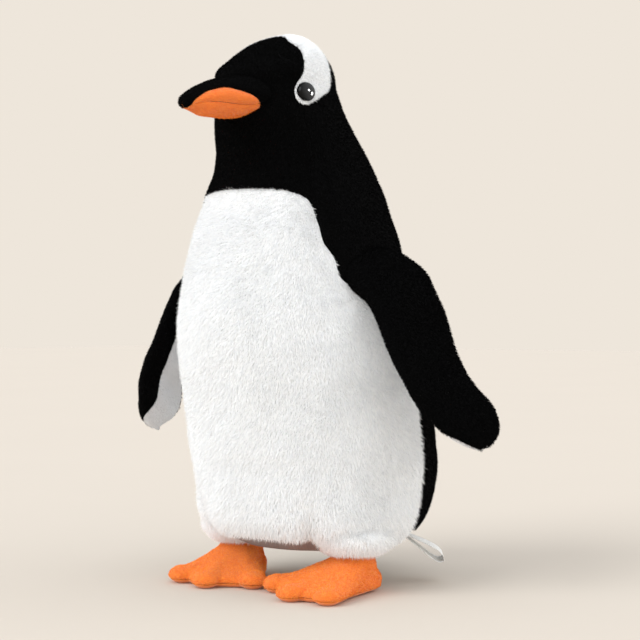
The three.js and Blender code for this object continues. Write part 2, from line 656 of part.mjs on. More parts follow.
putPair('back_panel', backLeft, BLACK_PLUSH);
putPair('leg_cuff', legCuff, WHITE_PLUSH);
putPair('leg_filling', legFilling, STUFFING);
putPair('foot_upper', footUpper, ORANGE_VELOUR);
putPair('foot_filling', footFilling, STUFFING);
putPair('foot_sole', footSole, ORANGE_VELOUR);
putPair('eye', eyeSolid(), BLACK_PLASTIC);
putPair('eye_washer', placed(washerSolid(), eyeMatrix()), CLEAR_PLASTIC);

for (const side of [1, -1]) {
  const name = side > 0 ? 'left' : 'right';
  const shaped = (solid) => (side > 0 ? solid : mirrored(solid));
  const flipper = new THREE.Group();
  flipper.position.set(side * hingeOut, 0, hingeHeight);
  flipper.rotation.y = -side * radians(FLIPPER_TILT);
  put(flipper, `flipper_outer_${name}`, shaped(flipperOuter), BLACK_PLUSH);
  put(flipper, `flipper_lining_${name}`, shaped(flipperLining), WHITE_VELOUR);
  put(flipper, `flipper_wadding_${name}`, shaped(flipperWadding), STUFFING);
  penguin.add(flipper);
}

// The origin is on the floor, below the middle of the whole toy.
const reach = new THREE.Box3().setFromObject(penguin, true);
penguin.position.y = -(reach.min.y + reach.max.y) / 2;
penguin.updateMatrixWorld(true);

export default penguin;
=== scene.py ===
"""A standing plush penguin: sewn plush skins under real pile, a soft bill, webbed feet and a ribbon label."""

import json
import logging
import math
from dataclasses import dataclass, field
from enum import Enum
from typing import Callable, Sequence

import bmesh
import bpy
import numpy as np
from mathutils import Matrix, Vector, noise

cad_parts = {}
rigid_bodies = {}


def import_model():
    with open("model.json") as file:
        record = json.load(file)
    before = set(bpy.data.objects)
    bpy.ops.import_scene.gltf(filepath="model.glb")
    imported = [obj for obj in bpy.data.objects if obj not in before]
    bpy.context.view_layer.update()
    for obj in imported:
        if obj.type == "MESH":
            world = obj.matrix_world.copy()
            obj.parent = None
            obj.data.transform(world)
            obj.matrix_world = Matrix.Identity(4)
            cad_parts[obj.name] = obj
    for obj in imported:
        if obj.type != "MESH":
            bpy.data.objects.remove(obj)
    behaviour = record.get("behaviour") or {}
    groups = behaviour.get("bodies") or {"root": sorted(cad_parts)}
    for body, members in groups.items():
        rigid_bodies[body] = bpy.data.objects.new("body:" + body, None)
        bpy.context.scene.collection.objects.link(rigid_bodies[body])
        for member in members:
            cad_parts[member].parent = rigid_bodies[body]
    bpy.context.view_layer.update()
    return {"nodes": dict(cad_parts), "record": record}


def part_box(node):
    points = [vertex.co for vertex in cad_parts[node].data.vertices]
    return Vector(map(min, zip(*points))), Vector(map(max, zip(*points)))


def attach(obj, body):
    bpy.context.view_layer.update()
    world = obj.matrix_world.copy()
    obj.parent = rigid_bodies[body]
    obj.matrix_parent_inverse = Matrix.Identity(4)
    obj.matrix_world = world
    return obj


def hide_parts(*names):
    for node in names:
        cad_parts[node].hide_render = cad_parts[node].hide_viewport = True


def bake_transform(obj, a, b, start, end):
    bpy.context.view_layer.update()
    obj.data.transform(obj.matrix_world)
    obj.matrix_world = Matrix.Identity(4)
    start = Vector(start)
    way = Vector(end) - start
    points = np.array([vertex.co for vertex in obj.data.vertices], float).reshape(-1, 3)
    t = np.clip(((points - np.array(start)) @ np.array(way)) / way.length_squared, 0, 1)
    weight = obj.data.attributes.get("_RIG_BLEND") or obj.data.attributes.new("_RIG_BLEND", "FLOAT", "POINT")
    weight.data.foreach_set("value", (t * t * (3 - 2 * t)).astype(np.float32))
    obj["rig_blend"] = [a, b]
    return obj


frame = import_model()

logging.basicConfig(level=logging.INFO, format="%(message)s")
LOG = logging.getLogger("penguin")

LEAN = "lean"  # the nap's direction, stored on the points of a cloth
LENGTH = "pile_length"

MM = 0.001
LEG_TURN = 70.0  # where the legs are sewn on, in degrees round from the front
LEG_PLACE = (40.0, -8.0, 0.0)  # leg axis, to the left, behind the body axis and above the floor
SHOULDER_OUT = 59.9
SHOULDER_HEIGHT = 188.0


# ---------------------------------------------------------------- small tools


class Side(Enum):
    """The penguin's own left and right."""

    LEFT = 1
    RIGHT = -1

    @property
    def label(self) -> str:
        """The word that ends the names of this side's pieces."""
        return self.name.lower()


class Curve:
    """A smooth line through a few knots that never swings past them."""

    def __init__(self, *knots: tuple[float, float]) -> None:
        """Works out the slope at each knot.

        Args:
            knots: Position and value of each knot, in rising order of position.
        """
        self.x = np.array([knot[0] for knot in knots], float)
        self.y = np.array([knot[1] for knot in knots], float)
        run = np.diff(self.x)
        rise = np.diff(self.y) / run
        slope = np.zeros(len(knots))
        slope[0], slope[-1] = rise[0], rise[-1]
        for i in range(1, len(knots) - 1):
            if rise[i - 1] * rise[i] > 0:
                before, after = 2 * run[i] + run[i - 1], run[i] + 2 * run[i - 1]
                slope[i] = (before + after) / (before / rise[i - 1] + after / rise[i])
        self.slope = slope

    def __call__(self, position: float) -> float:
        """The value at a position, held level past both ends.

        Args:
            position: Where the curve is read.

        Returns:
            The value there.
        """
        if position <= self.x[0]:
            return float(self.y[0])
        if position >= self.x[-1]:
            return float(self.y[-1])
        i = int(np.searchsorted(self.x, position)) - 1
        run = self.x[i + 1] - self.x[i]
        t = (position - self.x[i]) / run
        rise = t * t * (3 - 2 * t)
        start = t * (1 - t) ** 2 * run * self.slope[i]
        end = t * t * (t - 1) * run * self.slope[i + 1]
        return float(self.y[i] + rise * (self.y[i + 1] - self.y[i]) + start + end)


def smooth(low: float, high: float, value: float) -> float:
    """A soft step.

    Args:
        low: Where the step starts. It may lie above high, for a step down.
        high: Where the step ends.
        value: The value to place.

    Returns:
        0 before low, 1 past high and a smooth rise between them.
    """
    t = min(max((value - low) / (high - low), 0.0), 1.0)
    return t * t * (3 - 2 * t)


def ripple(point: Vector, size: float, seed: float = 0.0) -> float:
    """Even noise.

    Args:
        point: Where it is read.
        size: How large its lumps are, in the point's unit.
        seed: Moves it to another stretch of the noise.

    Returns:
        A value from about -1 to 1.
    """
    return noise.noise(point / size + Vector((seed, seed * 0.7, -seed)))


def finish_piece(bm: bmesh.types.BMesh, name: str, material: bpy.types.Material) -> bpy.types.Object:
    """Turns a bmesh into a smooth shaded object at the origin.

    Args:
        bm: The mesh, which is freed.
        name: The piece's name.
        material: Its material.

    Returns:
        The new object.
    """
    mesh = bpy.data.meshes.new(name)
    bm.to_mesh(mesh)
    bm.free()
    mesh.materials.append(material)
    for polygon in mesh.polygons:
        polygon.use_smooth = True
    piece = bpy.data.objects.new(name, mesh)
    bpy.context.scene.collection.objects.link(piece)
    return piece


def face_away(bm: bmesh.types.BMesh, inside: Callable[[Vector], Vector]) -> None:
    """Turns an open sheet's faces so that they look away from a line inside it.

    Args:
        bm: The sheet.
        inside: Gives the inner point that belongs to a point on the sheet.
    """
    bm.normal_update()
    total = sum((f.calc_center_median() - inside(f.calc_center_median())).dot(f.normal) for f in bm.faces)
    if total < 0:
        bmesh.ops.reverse_faces(bm, faces=bm.faces)


def thicken(piece: bpy.types.Object, thickness: float, offset: float = -1.0) -> None:
    """Gives a sheet a wall.

    Args:
        piece: The sheet.
        thickness: The wall's thickness.
        offset: -1 for a wall that grows inwards and 0 for one on both sides.
    """
    wall = piece.modifiers.new("wall", "SOLIDIFY")
    wall.thickness = thickness
    wall.offset = offset


def store_pile(mesh: bpy.types.Mesh, leans: list[float], lengths: list[float]) -> None:
    """Writes on a cloth how its nap leans and how long its pile is.

    Args:
        mesh: The cloth's mesh.
        leans: Three values for each point.
        lengths: One value for each point.
    """
    mesh.attributes.new(LEAN, "FLOAT_VECTOR", "POINT").data.foreach_set("vector", leans)
    mesh.attributes.new(LENGTH, "FLOAT", "POINT").data.foreach_set("value", lengths)


# ---------------------------------------------------------------- shader tools


class Socket:
    """A shader value that can be used in ordinary sums."""

    def __init__(self, tree: "Shader", link: bpy.types.NodeSocket) -> None:
        """Wraps an output socket of a node tree."""
        self.tree = tree
        self.link = link

    def _sum(self, operation: str, first: object, second: object) -> "Socket":
        """Adds one Math node."""
        return self.tree.node("ShaderNodeMath", {"operation": operation}, {0: first, 1: second})

    def __add__(self, other: object) -> "Socket":
        """self + other."""
        return self._sum("ADD", self, other)

    def __radd__(self, other: object) -> "Socket":
        """other + self."""
        return self._sum("ADD", other, self)

    def __sub__(self, other: object) -> "Socket":
        """self - other."""
        return self._sum("SUBTRACT", self, other)

    def __rsub__(self, other: object) -> "Socket":
        """other - self."""
        return self._sum("SUBTRACT", other, self)

    def __mul__(self, other: object) -> "Socket":
        """self * other."""
        return self._sum("MULTIPLY", self, other)

    def __rmul__(self, other: object) -> "Socket":
        """other * self."""
        return self._sum("MULTIPLY", other, self)


class Shader:
    """A material's node tree, written as Python expressions."""

    def __init__(self, name: str) -> None:
        """Starts a material with one Principled shader.

        Args:
            name: The material's name.
        """
        self.material = bpy.data.materials.new(name)
        self.material.use_nodes = True
        self.nodes = self.material.node_tree.nodes
        self.links = self.material.node_tree.links
        self.principled = self.nodes["Principled BSDF"]

    def node(self, kind: str, settings: dict, inputs: dict, output: object = 0) -> Socket:
        """Adds a node.

        Args:
            kind: The node's type.
            settings: Its properties, with a ramp's stops under "stops".
            inputs: Values or sockets by input name or number.
            output: Which output to hand back.

        Returns:
            The chosen output.
        """
        node = self.nodes.new(kind)
        for key, value in settings.items():
            if key == "stops":
                ramp = node.color_ramp
                for index, (position, color) in enumerate(value):
                    stop = ramp.elements[index] if index < 2 else ramp.elements.new(position)
                    stop.position = position
                    stop.color = (*color, 1.0)
            else:
                setattr(node, key, value)
        for key, value in inputs.items():
            if isinstance(value, Socket):
                self.links.new(value.link, node.inputs[key])
            else:
                node.inputs[key].default_value = value
        return Socket(self, node.outputs[output])

    def place(self) -> Socket:
        """The point's place in the piece's own space."""
        return self.node("ShaderNodeTexCoord", {}, {}, "Object")

    def noise(self, scale: float, detail: float = 2.0, stretch: Vector = Vector((1, 1, 1))) -> Socket:
        """Soft noise of a given scale, per metre."""
        where = self.node("ShaderNodeMapping", {}, {"Vector": self.place(), "Scale": stretch})
        return self.node("ShaderNodeTexNoise", {}, {"Vector": where, "Scale": scale, "Detail": detail}, "Fac")

    def mix(self, amount: object, first: Sequence[float], second: Sequence[float]) -> Socket:
        """A colour between two others."""
        settings = {"data_type": "RGBA"}
        return self.node("ShaderNodeMix", settings, {0: amount, 6: first, 7: second}, 2)

    def bump(self, height: Socket, distance: float, strength: float = 1.0) -> None:
        """Presses a height pattern into the surface.

        Args:
            height: The pattern.
            distance: How deep the pattern is.
            strength: How strongly it shades.
        """
        inputs = {"Height": height, "Distance": distance, "Strength": strength}
        normal = self.node("ShaderNodeBump", {}, inputs, "Normal")
        self.links.new(normal.link, self.principled.inputs["Normal"])

    def feed(self, name: str, value: object) -> None:
        """Sets or links one input of the Principled shader."""
        if isinstance(value, Socket):
            self.links.new(value.link, self.principled.inputs[name])
        else:
            self.principled.inputs[name].default_value = value


Color = tuple[float, float, float]


def rgba(color: Color, gain: float = 1.0) -> tuple[float, float, float, float]:
    """A colour made lighter or darker, with an alpha of 1."""
    return (*(min(channel * gain, 1.0) for channel in color), 1.0)


@dataclass(frozen=True)
class Cloth:
    """Knitted or woven cloth with a fine grain and soft shading."""

    name: str
    color: Color
    thread: float = 0.0006
    variation: float = 0.15
    roughness: float = 0.9
    sheen: float = 0.3
    shine: float = 0.3

    def build(self) -> bpy.types.Material:
        """Makes the material.

        Returns:
            The finished material.
        """
        shader = Shader(self.name)
        shader.feed("Specular IOR Level", self.shine)
        grain = shader.noise(1 / self.thread, 3.0)
        patches = shader.noise(60.0, 2.0)
        amount = grain * 0.6 + patches * 0.4
        low, high = rgba(self.color, 1 - self.variation), rgba(self.color, 1 + self.variation)
        shader.feed("Base Color", shader.mix(amount, low, high))
        shader.feed("Roughness", self.roughness - 0.1 + 0.1 * patches)
        shader.feed("Sheen Weight", self.sheen)
        shader.feed("Sheen Roughness", 0.6)
        shader.bump(grain, self.thread * 0.6)
        return shader.material


@dataclass(frozen=True)
class Weave:
    """Plain woven cloth or ribbon with crossing threads."""

    name: str
    color: Color
    pitch: float
    roughness: float
    sheen: float = 0.1

    def build(self) -> bpy.types.Material:
        """Makes the material.

        Returns:
            The finished material.
        """
        shader = Shader(self.name)
        turn = 2 * math.pi / self.pitch
        waves = []
        for axis in range(3):
            along = shader.node("ShaderNodeSeparateXYZ", {}, {0: shader.place()}, axis)
            waves.append(shader.node("ShaderNodeMath", {"operation": "SINE"}, {0: along * turn}))
        height = waves[0] * waves[1] + waves[2] * 0.5
        dirt = shader.noise(90.0, 3.0)
        shader.feed("Base Color", shader.mix(dirt, rgba(self.color, 0.86), rgba(self.color, 1.08)))
        shader.feed("Roughness", self.roughness - 0.06 + dirt * 0.12)
        shader.feed("Sheen Weight", self.sheen)
        shader.bump(height * 0.5 + 0.5, self.pitch * 0.2)
        return shader.material


@dataclass(frozen=True)
class Gloss:
    """Polished moulded plastic."""

    name: str
    color: Color
    roughness: float = 0.05

    def build(self) -> bpy.types.Material:
        """Makes the material.

        Returns:
            The finished material.
        """
        shader = Shader(self.name)
        haze = shader.noise(400.0, 2.0)
        shader.feed("Base Color", shader.mix(haze, rgba(self.color, 0.8), rgba(self.color, 1.3)))
        shader.feed("Roughness", self.roughness + haze * 0.03)
        shader.feed("Specular IOR Level", 0.09)
        return shader.material


@dataclass(frozen=True)
class Stuffing:
    """Loose white fibre."""

    name: str
    color: Color

    def build(self) -> bpy.types.Material:
        """Makes the material.

        Returns:
            The finished material.
        """
        shader = Shader(self.name)
        fluff = shader.noise(250.0, 4.0)
        shader.feed("Base Color", shader.mix(fluff, rgba(self.color, 0.8), rgba(self.color)))
        shader.feed("Roughness", 1.0)
        shader.bump(fluff, 0.001)
        return shader.material


@dataclass(frozen=True)
class PileTones:
    """The tones of one colour of pile. Each fibre takes one of them."""

    name: str
    tones: tuple[Color, ...]
    roughness: float = 0.85
    sheen: float = 0.25
    shine: float = 0.25

    def build(self) -> list[bpy.types.Material]:
        """Makes one plain material for each tone.

        Returns:
            The materials, in the order of the tones.
        """
        made = []
        for number, tone in enumerate(self.tones):
            shader = Shader(f"{self.name}_tone_{number}")
            shader.feed("Base Color", rgba(tone))
            shader.feed("Roughness", self.roughness)
            shader.feed("Sheen Weight", self.sheen)
            shader.feed("Sheen Roughness", 0.5)
            shader.feed("Specular IOR Level", self.shine)
            made.append(shader.material)
        return made


# ---------------------------------------------------------------- pile


@dataclass
class Pile:
    """Cut pile: thin closed fibres that stand on a cloth and lean with its nap."""

    tones: PileTones
    length: float
    width: float
    density: float
    tangle: float = 0.35
    clump: float = 0.5
    clump_size: float = 0.006
    materials: list[bpy.types.Material] = field(default_factory=list)

    def _fibres(self, name: str) -> bpy.types.Collection:
        """Makes one fibre for each tone, a little apart in length and width.

        Args:
            name: The name of the collection.

        Returns:
            A collection that holds the fibres.
        """
        if not self.materials:
            self.materials = self.tones.build()
        group = bpy.data.collections.new(name)
        for number, material in enumerate(self.materials):
            bm = bmesh.new()
            width = self.width * (0.85 + 0.1 * number)
            bmesh.ops.create_cone(bm, cap_ends=True, segments=3, radius1=width, radius2=0.0, depth=1.0)
            bmesh.ops.translate(bm, verts=bm.verts, vec=(0.0, 0.0, 0.45))
            mesh = bpy.data.meshes.new(f"{name}_{number}")
            bmesh.ops.triangulate(bm, faces=bm.faces)
            bm.to_mesh(mesh)
            bm.free()
            mesh.materials.append(material)
            group.objects.link(bpy.data.objects.new(mesh.name, mesh))
        return group

    def grow(self, ground: bpy.types.Object, name: str, seed: int, share: float = 1.0) -> bpy.types.Object:
        """Grows the pile on a cloth.

        Args:
            ground: The cloth, whose points say how the nap leans and how long the pile is.
            name: The new piece's name.
            seed: Sets where the fibres stand.
            share: The part of the full density that this piece holds.

        Returns:
            The pile, a mesh of its own.
        """
        group = self._fibres(f"{name}_fibre")
        tree = bpy.data.node_groups.new(name, "GeometryNodeTree")
        tree.interface.new_socket("Geometry", in_out="INPUT", socket_type="NodeSocketGeometry")
        tree.interface.new_socket("Geometry", in_out="OUTPUT", socket_type="NodeSocketGeometry")

        def add(kind: str, settings: dict, inputs: dict) -> bpy.types.Node:
            """Adds a node with its settings and inputs.

            Args:
                kind: The node's type.
                settings: Its properties.
                inputs: Values or sockets by input.

            Returns:
                The node.
            """
            node = tree.nodes.new(kind)
            for key, value in settings.items():
                setattr(node, key, value)
            for key, value in inputs.items():
                if isinstance(value, bpy.types.NodeSocket):
                    tree.links.new(value, node.inputs[key])
                else:
                    node.inputs[key].default_value = value
            return node

        def stored(kind: str, attribute: str) -> bpy.types.NodeSocket:
            """Reads a named attribute."""
            node = add("GeometryNodeInputNamedAttribute", {"data_type": kind}, {"Name": attribute})
            return next(socket for socket in node.outputs if socket.enabled)

        def chance(kind: str, low: object, high: object, number: int) -> bpy.types.NodeSocket:
            """A random value for each fibre.

            Args:
                kind: The kind of value.
                low: The lower limit.
                high: The upper limit.
                number: Tells this value apart from the pile's other ones.

            Returns:
                The random value's socket.
            """
            node = add("FunctionNodeRandomValue", {"data_type": kind}, {})
            live = [socket for socket in node.inputs if socket.enabled]
            by_name = {socket.name: socket for socket in live}
            by_name["Min"].default_value = low
            by_name["Max"].default_value = high
            by_name["Seed"].default_value = seed * 10 + number
            return next(socket for socket in node.outputs if socket.enabled)

        def vector(operation: str, first: object, second: object) -> bpy.types.NodeSocket:
            """One vector sum."""
            return add("ShaderNodeVectorMath", {"operation": operation}, {0: first, 1: second}).outputs[0]

        start = add("NodeGroupInput", {}, {})
        length = stored("FLOAT", LENGTH)
        per_area = self.density * share * 1e6
        spread = {"Mesh": start.outputs[0], "Density": per_area, "Seed": seed}
        points = add("GeometryNodeDistributePointsOnFaces", {"distribute_method": "RANDOM"}, spread)
        place = add("GeometryNodeInputPosition", {}, {}).outputs[0]
        lumps = add("ShaderNodeTexNoise", {"noise_dimensions": "3D"},
                    {"Vector": place, "Scale": 1 / self.clump_size, "Detail": 1.5})
        lump = vector("SUBTRACT", lumps.outputs["Color"], (0.5, 0.5, 0.5))
        lump = vector("MULTIPLY", lump, (self.clump * 4,) * 3)
        loose = chance("FLOAT_VECTOR", (-self.tangle,) * 3, (self.tangle,) * 3, 1)
        nap = vector("ADD", stored("FLOAT_VECTOR", LEAN), points.outputs["Normal"])
        heading = vector("ADD", vector("ADD", nap, lump), loose)
        turned = add("FunctionNodeAlignRotationToVector", {"axis": "Z"}, {"Vector": heading})
        tall = add("ShaderNodeMath", {"operation": "MULTIPLY"}, {0: length, 1: chance("FLOAT", 0.6, 1.15, 2)})
        size = add("ShaderNodeCombineXYZ", {}, {0: 1.0, 1: 1.0, 2: tall.outputs[0]})
        each = {"Collection": group, "Separate Children": True, "Reset Children": True}
        copies = {
            "Points": points.outputs["Points"],
            "Instance": add("GeometryNodeCollectionInfo", {}, each).outputs[0],
            "Pick Instance": True,
            "Instance Index": chance("INT", 0, len(self.materials) - 1, 3),
            "Rotation": turned.outputs[0],
            "Scale": size.outputs[0],
        }
        made = add("GeometryNodeInstanceOnPoints", {}, copies)
        real = add("GeometryNodeRealizeInstances", {}, {"Geometry": made.outputs[0]})
        end = add("NodeGroupOutput", {}, {})
        tree.links.new(real.outputs[0], end.inputs[0])

        grower = ground.copy()
        grower.data = ground.data.copy()
        grower.modifiers.clear()
        grower.parent = None
        bpy.context.scene.collection.objects.link(grower)
        modifier = grower.modifiers.new("pile", "NODES")
        modifier.node_group = tree
        depsgraph = bpy.context.evaluated_depsgraph_get()
        mesh = bpy.data.meshes.new_from_object(grower.evaluated_get(depsgraph))
        bpy.data.objects.remove(grower)
        bpy.data.node_groups.remove(tree)
        for fibre in list(group.objects):
            bpy.data.objects.remove(fibre)
        bpy.data.collections.remove(group)
        mesh.name = name
        for attribute in [a.name for a in mesh.attributes if a.name in (LEAN, LENGTH, "UVMap")]:
            mesh.attributes.remove(mesh.attributes[attribute])
        pile = bpy.data.objects.new(name, mesh)
        bpy.context.scene.collection.objects.link(pile)
        LOG.info("%s: %d faces", name, len(mesh.polygons))
        return pile


# ---------------------------------------------------------------- sheets


@dataclass
class Sheet:
    """A patch of cloth laid over a form, with its nap and pile length stored on it."""

    name: str
    columns: int
    rows: int
    point: Callable[[float, float], Vector]
    inside: Callable[[Vector], Vector]
    lean: Callable[[Vector, Vector], Vector]
    length: Callable[[Vector], float]
    thickness: float = 0.0012

    def build(self, material: bpy.types.Material) -> bpy.types.Object:
        """Lays the cloth.

        Args:
            material: The cloth's material.

        Returns:
            The sheet, with a wall that grows inwards.
        """
        bm = bmesh.new()
        bmesh.ops.create_grid(bm, x_segments=self.columns, y_segments=self.rows, size=0.5)
        for vert in bm.verts:
            vert.co = self.point(vert.co.x + 0.5, vert.co.y + 0.5)
        bmesh.ops.remove_doubles(bm, verts=bm.verts, dist=2e-5)
        bmesh.ops.dissolve_degenerate(bm, edges=bm.edges, dist=1e-5)
        face_away(bm, self.inside)
        bm.normal_update()
        piece = finish_piece(bm, self.name, material)
        mesh = piece.data
        leans = [value for v in mesh.vertices for value in self.lean(v.co.copy(), v.normal.copy())]
        lengths = [self.length(v.co.copy()) for v in mesh.vertices]
        store_pile(mesh, leans, lengths)
        thicken(piece, self.thickness)
        return piece


def downhill(weight: float) -> Callable[[Vector, Vector], Vector]:
    """A nap that leans down the surface.

    Args:
        weight: How far it leans, where 1 is 45 degrees.

    Returns:
        The nap as a function of place and normal.
    """

    def lean(_place: Vector, normal: Vector) -> Vector:
        """Down along the surface.

        Args:
            _place: The point, which makes no difference.
            normal: The outward direction there.

        Returns:
            The nap's direction.
        """
        down = Vector((0, 0, -1))
        along = down - normal * down.dot(normal)
        return along * weight

    return lean


# ---------------------------------------------------------------- body form


@dataclass
class BodyForm:
    """The stuffed form of trunk, neck and head that the skins are sewn to.

    A point is named by its station and its turn. Stations run from 0 at the base to 1 at the middle of the
    head and 2 at the crown. The turn is in degrees from the front towards the penguin's left.
    """

    base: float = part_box("base_panel")[0].z
    half_width: float = (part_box("belly_panel")[1].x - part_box("belly_panel")[0].x) / 2
    half_depth: float = 64.2 * MM
    head_forward: float = 24.5 * MM
    head_radius: float = 32 * MM
    head_rise: float = 30.5 * MM
    crown: float = 297.5 * MM
    middle_front: float = 6 * MM
    width: Curve = field(init=False)
    depth: Curve = field(init=False)
    centre: Curve = field(init=False)

    def __post_init__(self) -> None:
        """Draws the form's side lines and finds the body axis."""
        low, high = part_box("base_panel")
        self.axis = (low.y + high.y) / 2 - self.middle_front
        self.head_height = self.crown - self.head_rise
        self.height = self.head_height - self.base
        trunk = ((0, 0.56), (0.012, 0.675), (0.028, 0.79), (0.073, 0.912), (0.118, 0.957), (0.163, 0.983),
                 (0.232, 0.998), (0.341, 1), (0.476, 0.963), (0.565, 0.906), (0.675, 0.83))
        self.width = Curve(*trunk, (0.728, 0.766), (0.768, 0.72), (0.811, 0.655), (0.856, 0.596),
                           (0.9, 0.548), (0.945, 0.503), (1, self.head_radius / self.half_width))
        self.depth = Curve(*trunk, (0.728, 0.771), (0.768, 0.726), (0.811, 0.668), (0.856, 0.62),
                           (0.9, 0.584), (0.945, 0.545), (1, self.head_radius / self.half_depth))
        self.centre = Curve((0, 6), (0.028, 6), (0.118, 7.3), (0.163, 7.6), (0.232, 5), (0.341, 0.6),
                            (0.476, -7), (0.565, -9.5), (0.7, -10), (0.811, -10), (0.856, -12.5),
                            (0.9, -17.6), (0.945, -22), (1, -24.5))
        self.lengths = self._lengths()

    def ring(self, station: float) -> tuple[float, float, float, float]:
        """Height, half width, half depth and middle along Y at a station.

        Args:
            station: 0 at the base, 1 at the head's middle, 2 at the crown.

        Returns:
            The four values, in metres.
        """
        if station <= 1:
            return (
                self.base + station * self.height,
                self.width(station) * self.half_width,
                self.depth(station) * self.half_depth,
                self.axis + self.centre(station) * MM,
            )
        latitude = (station - 1) * math.pi / 2
        radius = self.head_radius * math.cos(latitude)
        height = self.head_height + self.head_rise * math.sin(latitude)
        return height, radius, radius, self.axis - self.head_forward

    def station(self, height: float) -> float:
        """The station at a height.

        Args:
            height: Height above the floor.

        Returns:
            The station.
        """
        if height <= self.head_height:
            return (height - self.base) / self.height
        rise = min((height - self.head_height) / self.head_rise, 1.0)
        return 1 + math.asin(rise) * 2 / math.pi

    def _lengths(self) -> tuple[np.ndarray, np.ndarray]:
        """Arc length up the front against the station.

        Returns:
            The stations and the arc length at each.
        """
        stations = np.linspace(0, 2, 401)
        points = [Vector((0, self.ring(s)[3] - self.ring(s)[2], self.ring(s)[0])) for s in stations]
        steps = [0.0] + [(b - a).length for a, b in zip(points, points[1:])]
        return stations, np.cumsum(steps)

    def between(self, low: float, high: float, share: float) -> float:
        """The station at a share of the arc length between two others.

        Args:
            low: The first station.
            high: The second station.
            share: The share of the arc length between them.

        Returns:
            The station.
        """
        stations, lengths = self.lengths
        start, end = np.interp([low, high], stations, lengths)
        return float(np.interp(start + (end - start) * share, lengths, stations))

    def sculpt(self, place: Vector, turn: float) -> float:
        """How far the stuffed cloth stands in or out of the plain form.

        Args:
            place: The point.
            turn: Degrees from the front towards the penguin's left.

        Returns:
            The distance out of the plain form.
        """
        head = Vector((0, self.axis - self.head_forward, self.head_height))
        away = (place - head).normalized()
        brow = away.dot(Vector((0, -0.62, 0.78)))
        amount = -3.4 * MM * smooth(0.55, 0.98, brow)
        ahead = 1 - smooth(50, 85, abs(turn))
        amount += 2.4 * MM * ahead * math.exp(-(((place.z - self.head_height - 7.5 * MM) / (6.5 * MM)) ** 2))
        trunk = 1 - smooth(self.base + 0.17, self.base + 0.21, place.z)
        puckers = ripple(Vector((place.x, place.y, place.z * 0.45)), 0.026) * 1.1 * MM
        dimples = ripple(place, 0.012, 3.0) * 0.35 * MM
        off = abs(abs(turn) - LEG_TURN)
        low = 1 - smooth(0.032, 0.056, place.z)
        thigh = 3.0 * MM * (1 - smooth(20, 36, off)) * low
        crease = -1.8 * MM * math.exp(-(((off - 35) / 4.5) ** 2)) * low
        return amount + (puckers + dimples) * (0.35 + 0.65 * trunk) + thigh + crease

    def point(self, station: float, turn: float, inset: float) -> Vector:
        """A point on the form.

        Args:
            station: 0 at the base, 1 at the head's middle, 2 at the crown.
            turn: Degrees from the front towards the penguin's left.
            inset: Distance taken in from the form.

        Returns:
            The point.
        """
        height, width, depth, middle = self.ring(station)
        angle = math.radians(turn)
        place = Vector((width * math.sin(angle), middle - depth * math.cos(angle), height))
        out = self.outwards(station, turn)
        return place + out * (self.sculpt(place, turn) - inset)

    def outwards(self, station: float, turn: float) -> Vector:
        """The form's outward direction at a point.

        Args:
            station: 0 at the base, 1 at the head's middle, 2 at the crown.
            turn: Degrees from the front towards the penguin's left.

        Returns:
            A unit vector.
        """
        step = 0.004
        angle = math.radians(turn)
        low, high = self.ring(max(station - step, 0)), self.ring(min(station + step, 2))
        _, width, depth, _ = self.ring(station)

        def spot(ring: tuple[float, float, float, float]) -> Vector:
            """The point of a ring at this turn."""
            return Vector((ring[1] * math.sin(angle), ring[3] - ring[2] * math.cos(angle), ring[0]))

        up = spot(high) - spot(low)
        around = Vector((max(width, 1e-4) * math.cos(angle), max(depth, 1e-4) * math.sin(angle), 0))
        out = around.cross(up)
        return out.normalized() if out.length > 0 else Vector((0, 0, 1))

    def inside(self, place: Vector) -> Vector:
        """The axis point beside a place.

        Args:
            place: The point.

        Returns:
            The point on the axis.
        """
        height = min(place.z, self.head_height)
        station = max(self.station(height), 0.0)
        ring = self.ring(station)
        return Vector((0, ring[3], max(height, self.base + 0.03)))


FORM = BodyForm()


def at(x: float, y: float, z: float) -> Vector:
    """A place in millimetres: to the penguin's left, behind the body axis and above the floor."""
    return Vector((x * MM, FORM.axis + y * MM, z * MM))


# ---------------------------------------------------------------- finishes

BLACK = (0.0012, 0.0012, 0.0013)

BLACK_CLOTH = Cloth("black_plush_backing", BLACK, 0.0005, 0.3, 0.9, 0.005, 0.03)
WHITE_CLOTH = Cloth("white_plush_backing", (0.88, 0.89, 0.9), 0.0008, 0.05)
LINING_CLOTH = Cloth("flipper_lining_cloth", (0.72, 0.73, 0.75), 0.0005, 0.08)
ORANGE_CLOTH = Cloth("orange_velour_backing", (0.8, 0.2, 0.02), 0.0005, 0.2)
GREY_CLOTH = Weave("grey_base_cotton", (0.3, 0.3, 0.31), 0.0011, 0.9)
SATIN = Weave("white_satin_ribbon", (0.86, 0.86, 0.84), 0.0006, 0.35, 0.3)
EYE_PLASTIC = Gloss("black_eye_plastic", (0.004, 0.004, 0.004))
WASHER_PLASTIC = Gloss("clear_washer_plastic", (0.6, 0.6, 0.58), 0.3)
FLUFF = Stuffing("polyester_stuffing", (0.88, 0.88, 0.86))
PELLETS = Weave("pellet_bag_cotton", (0.7, 0.68, 0.6), 0.0012, 0.9)

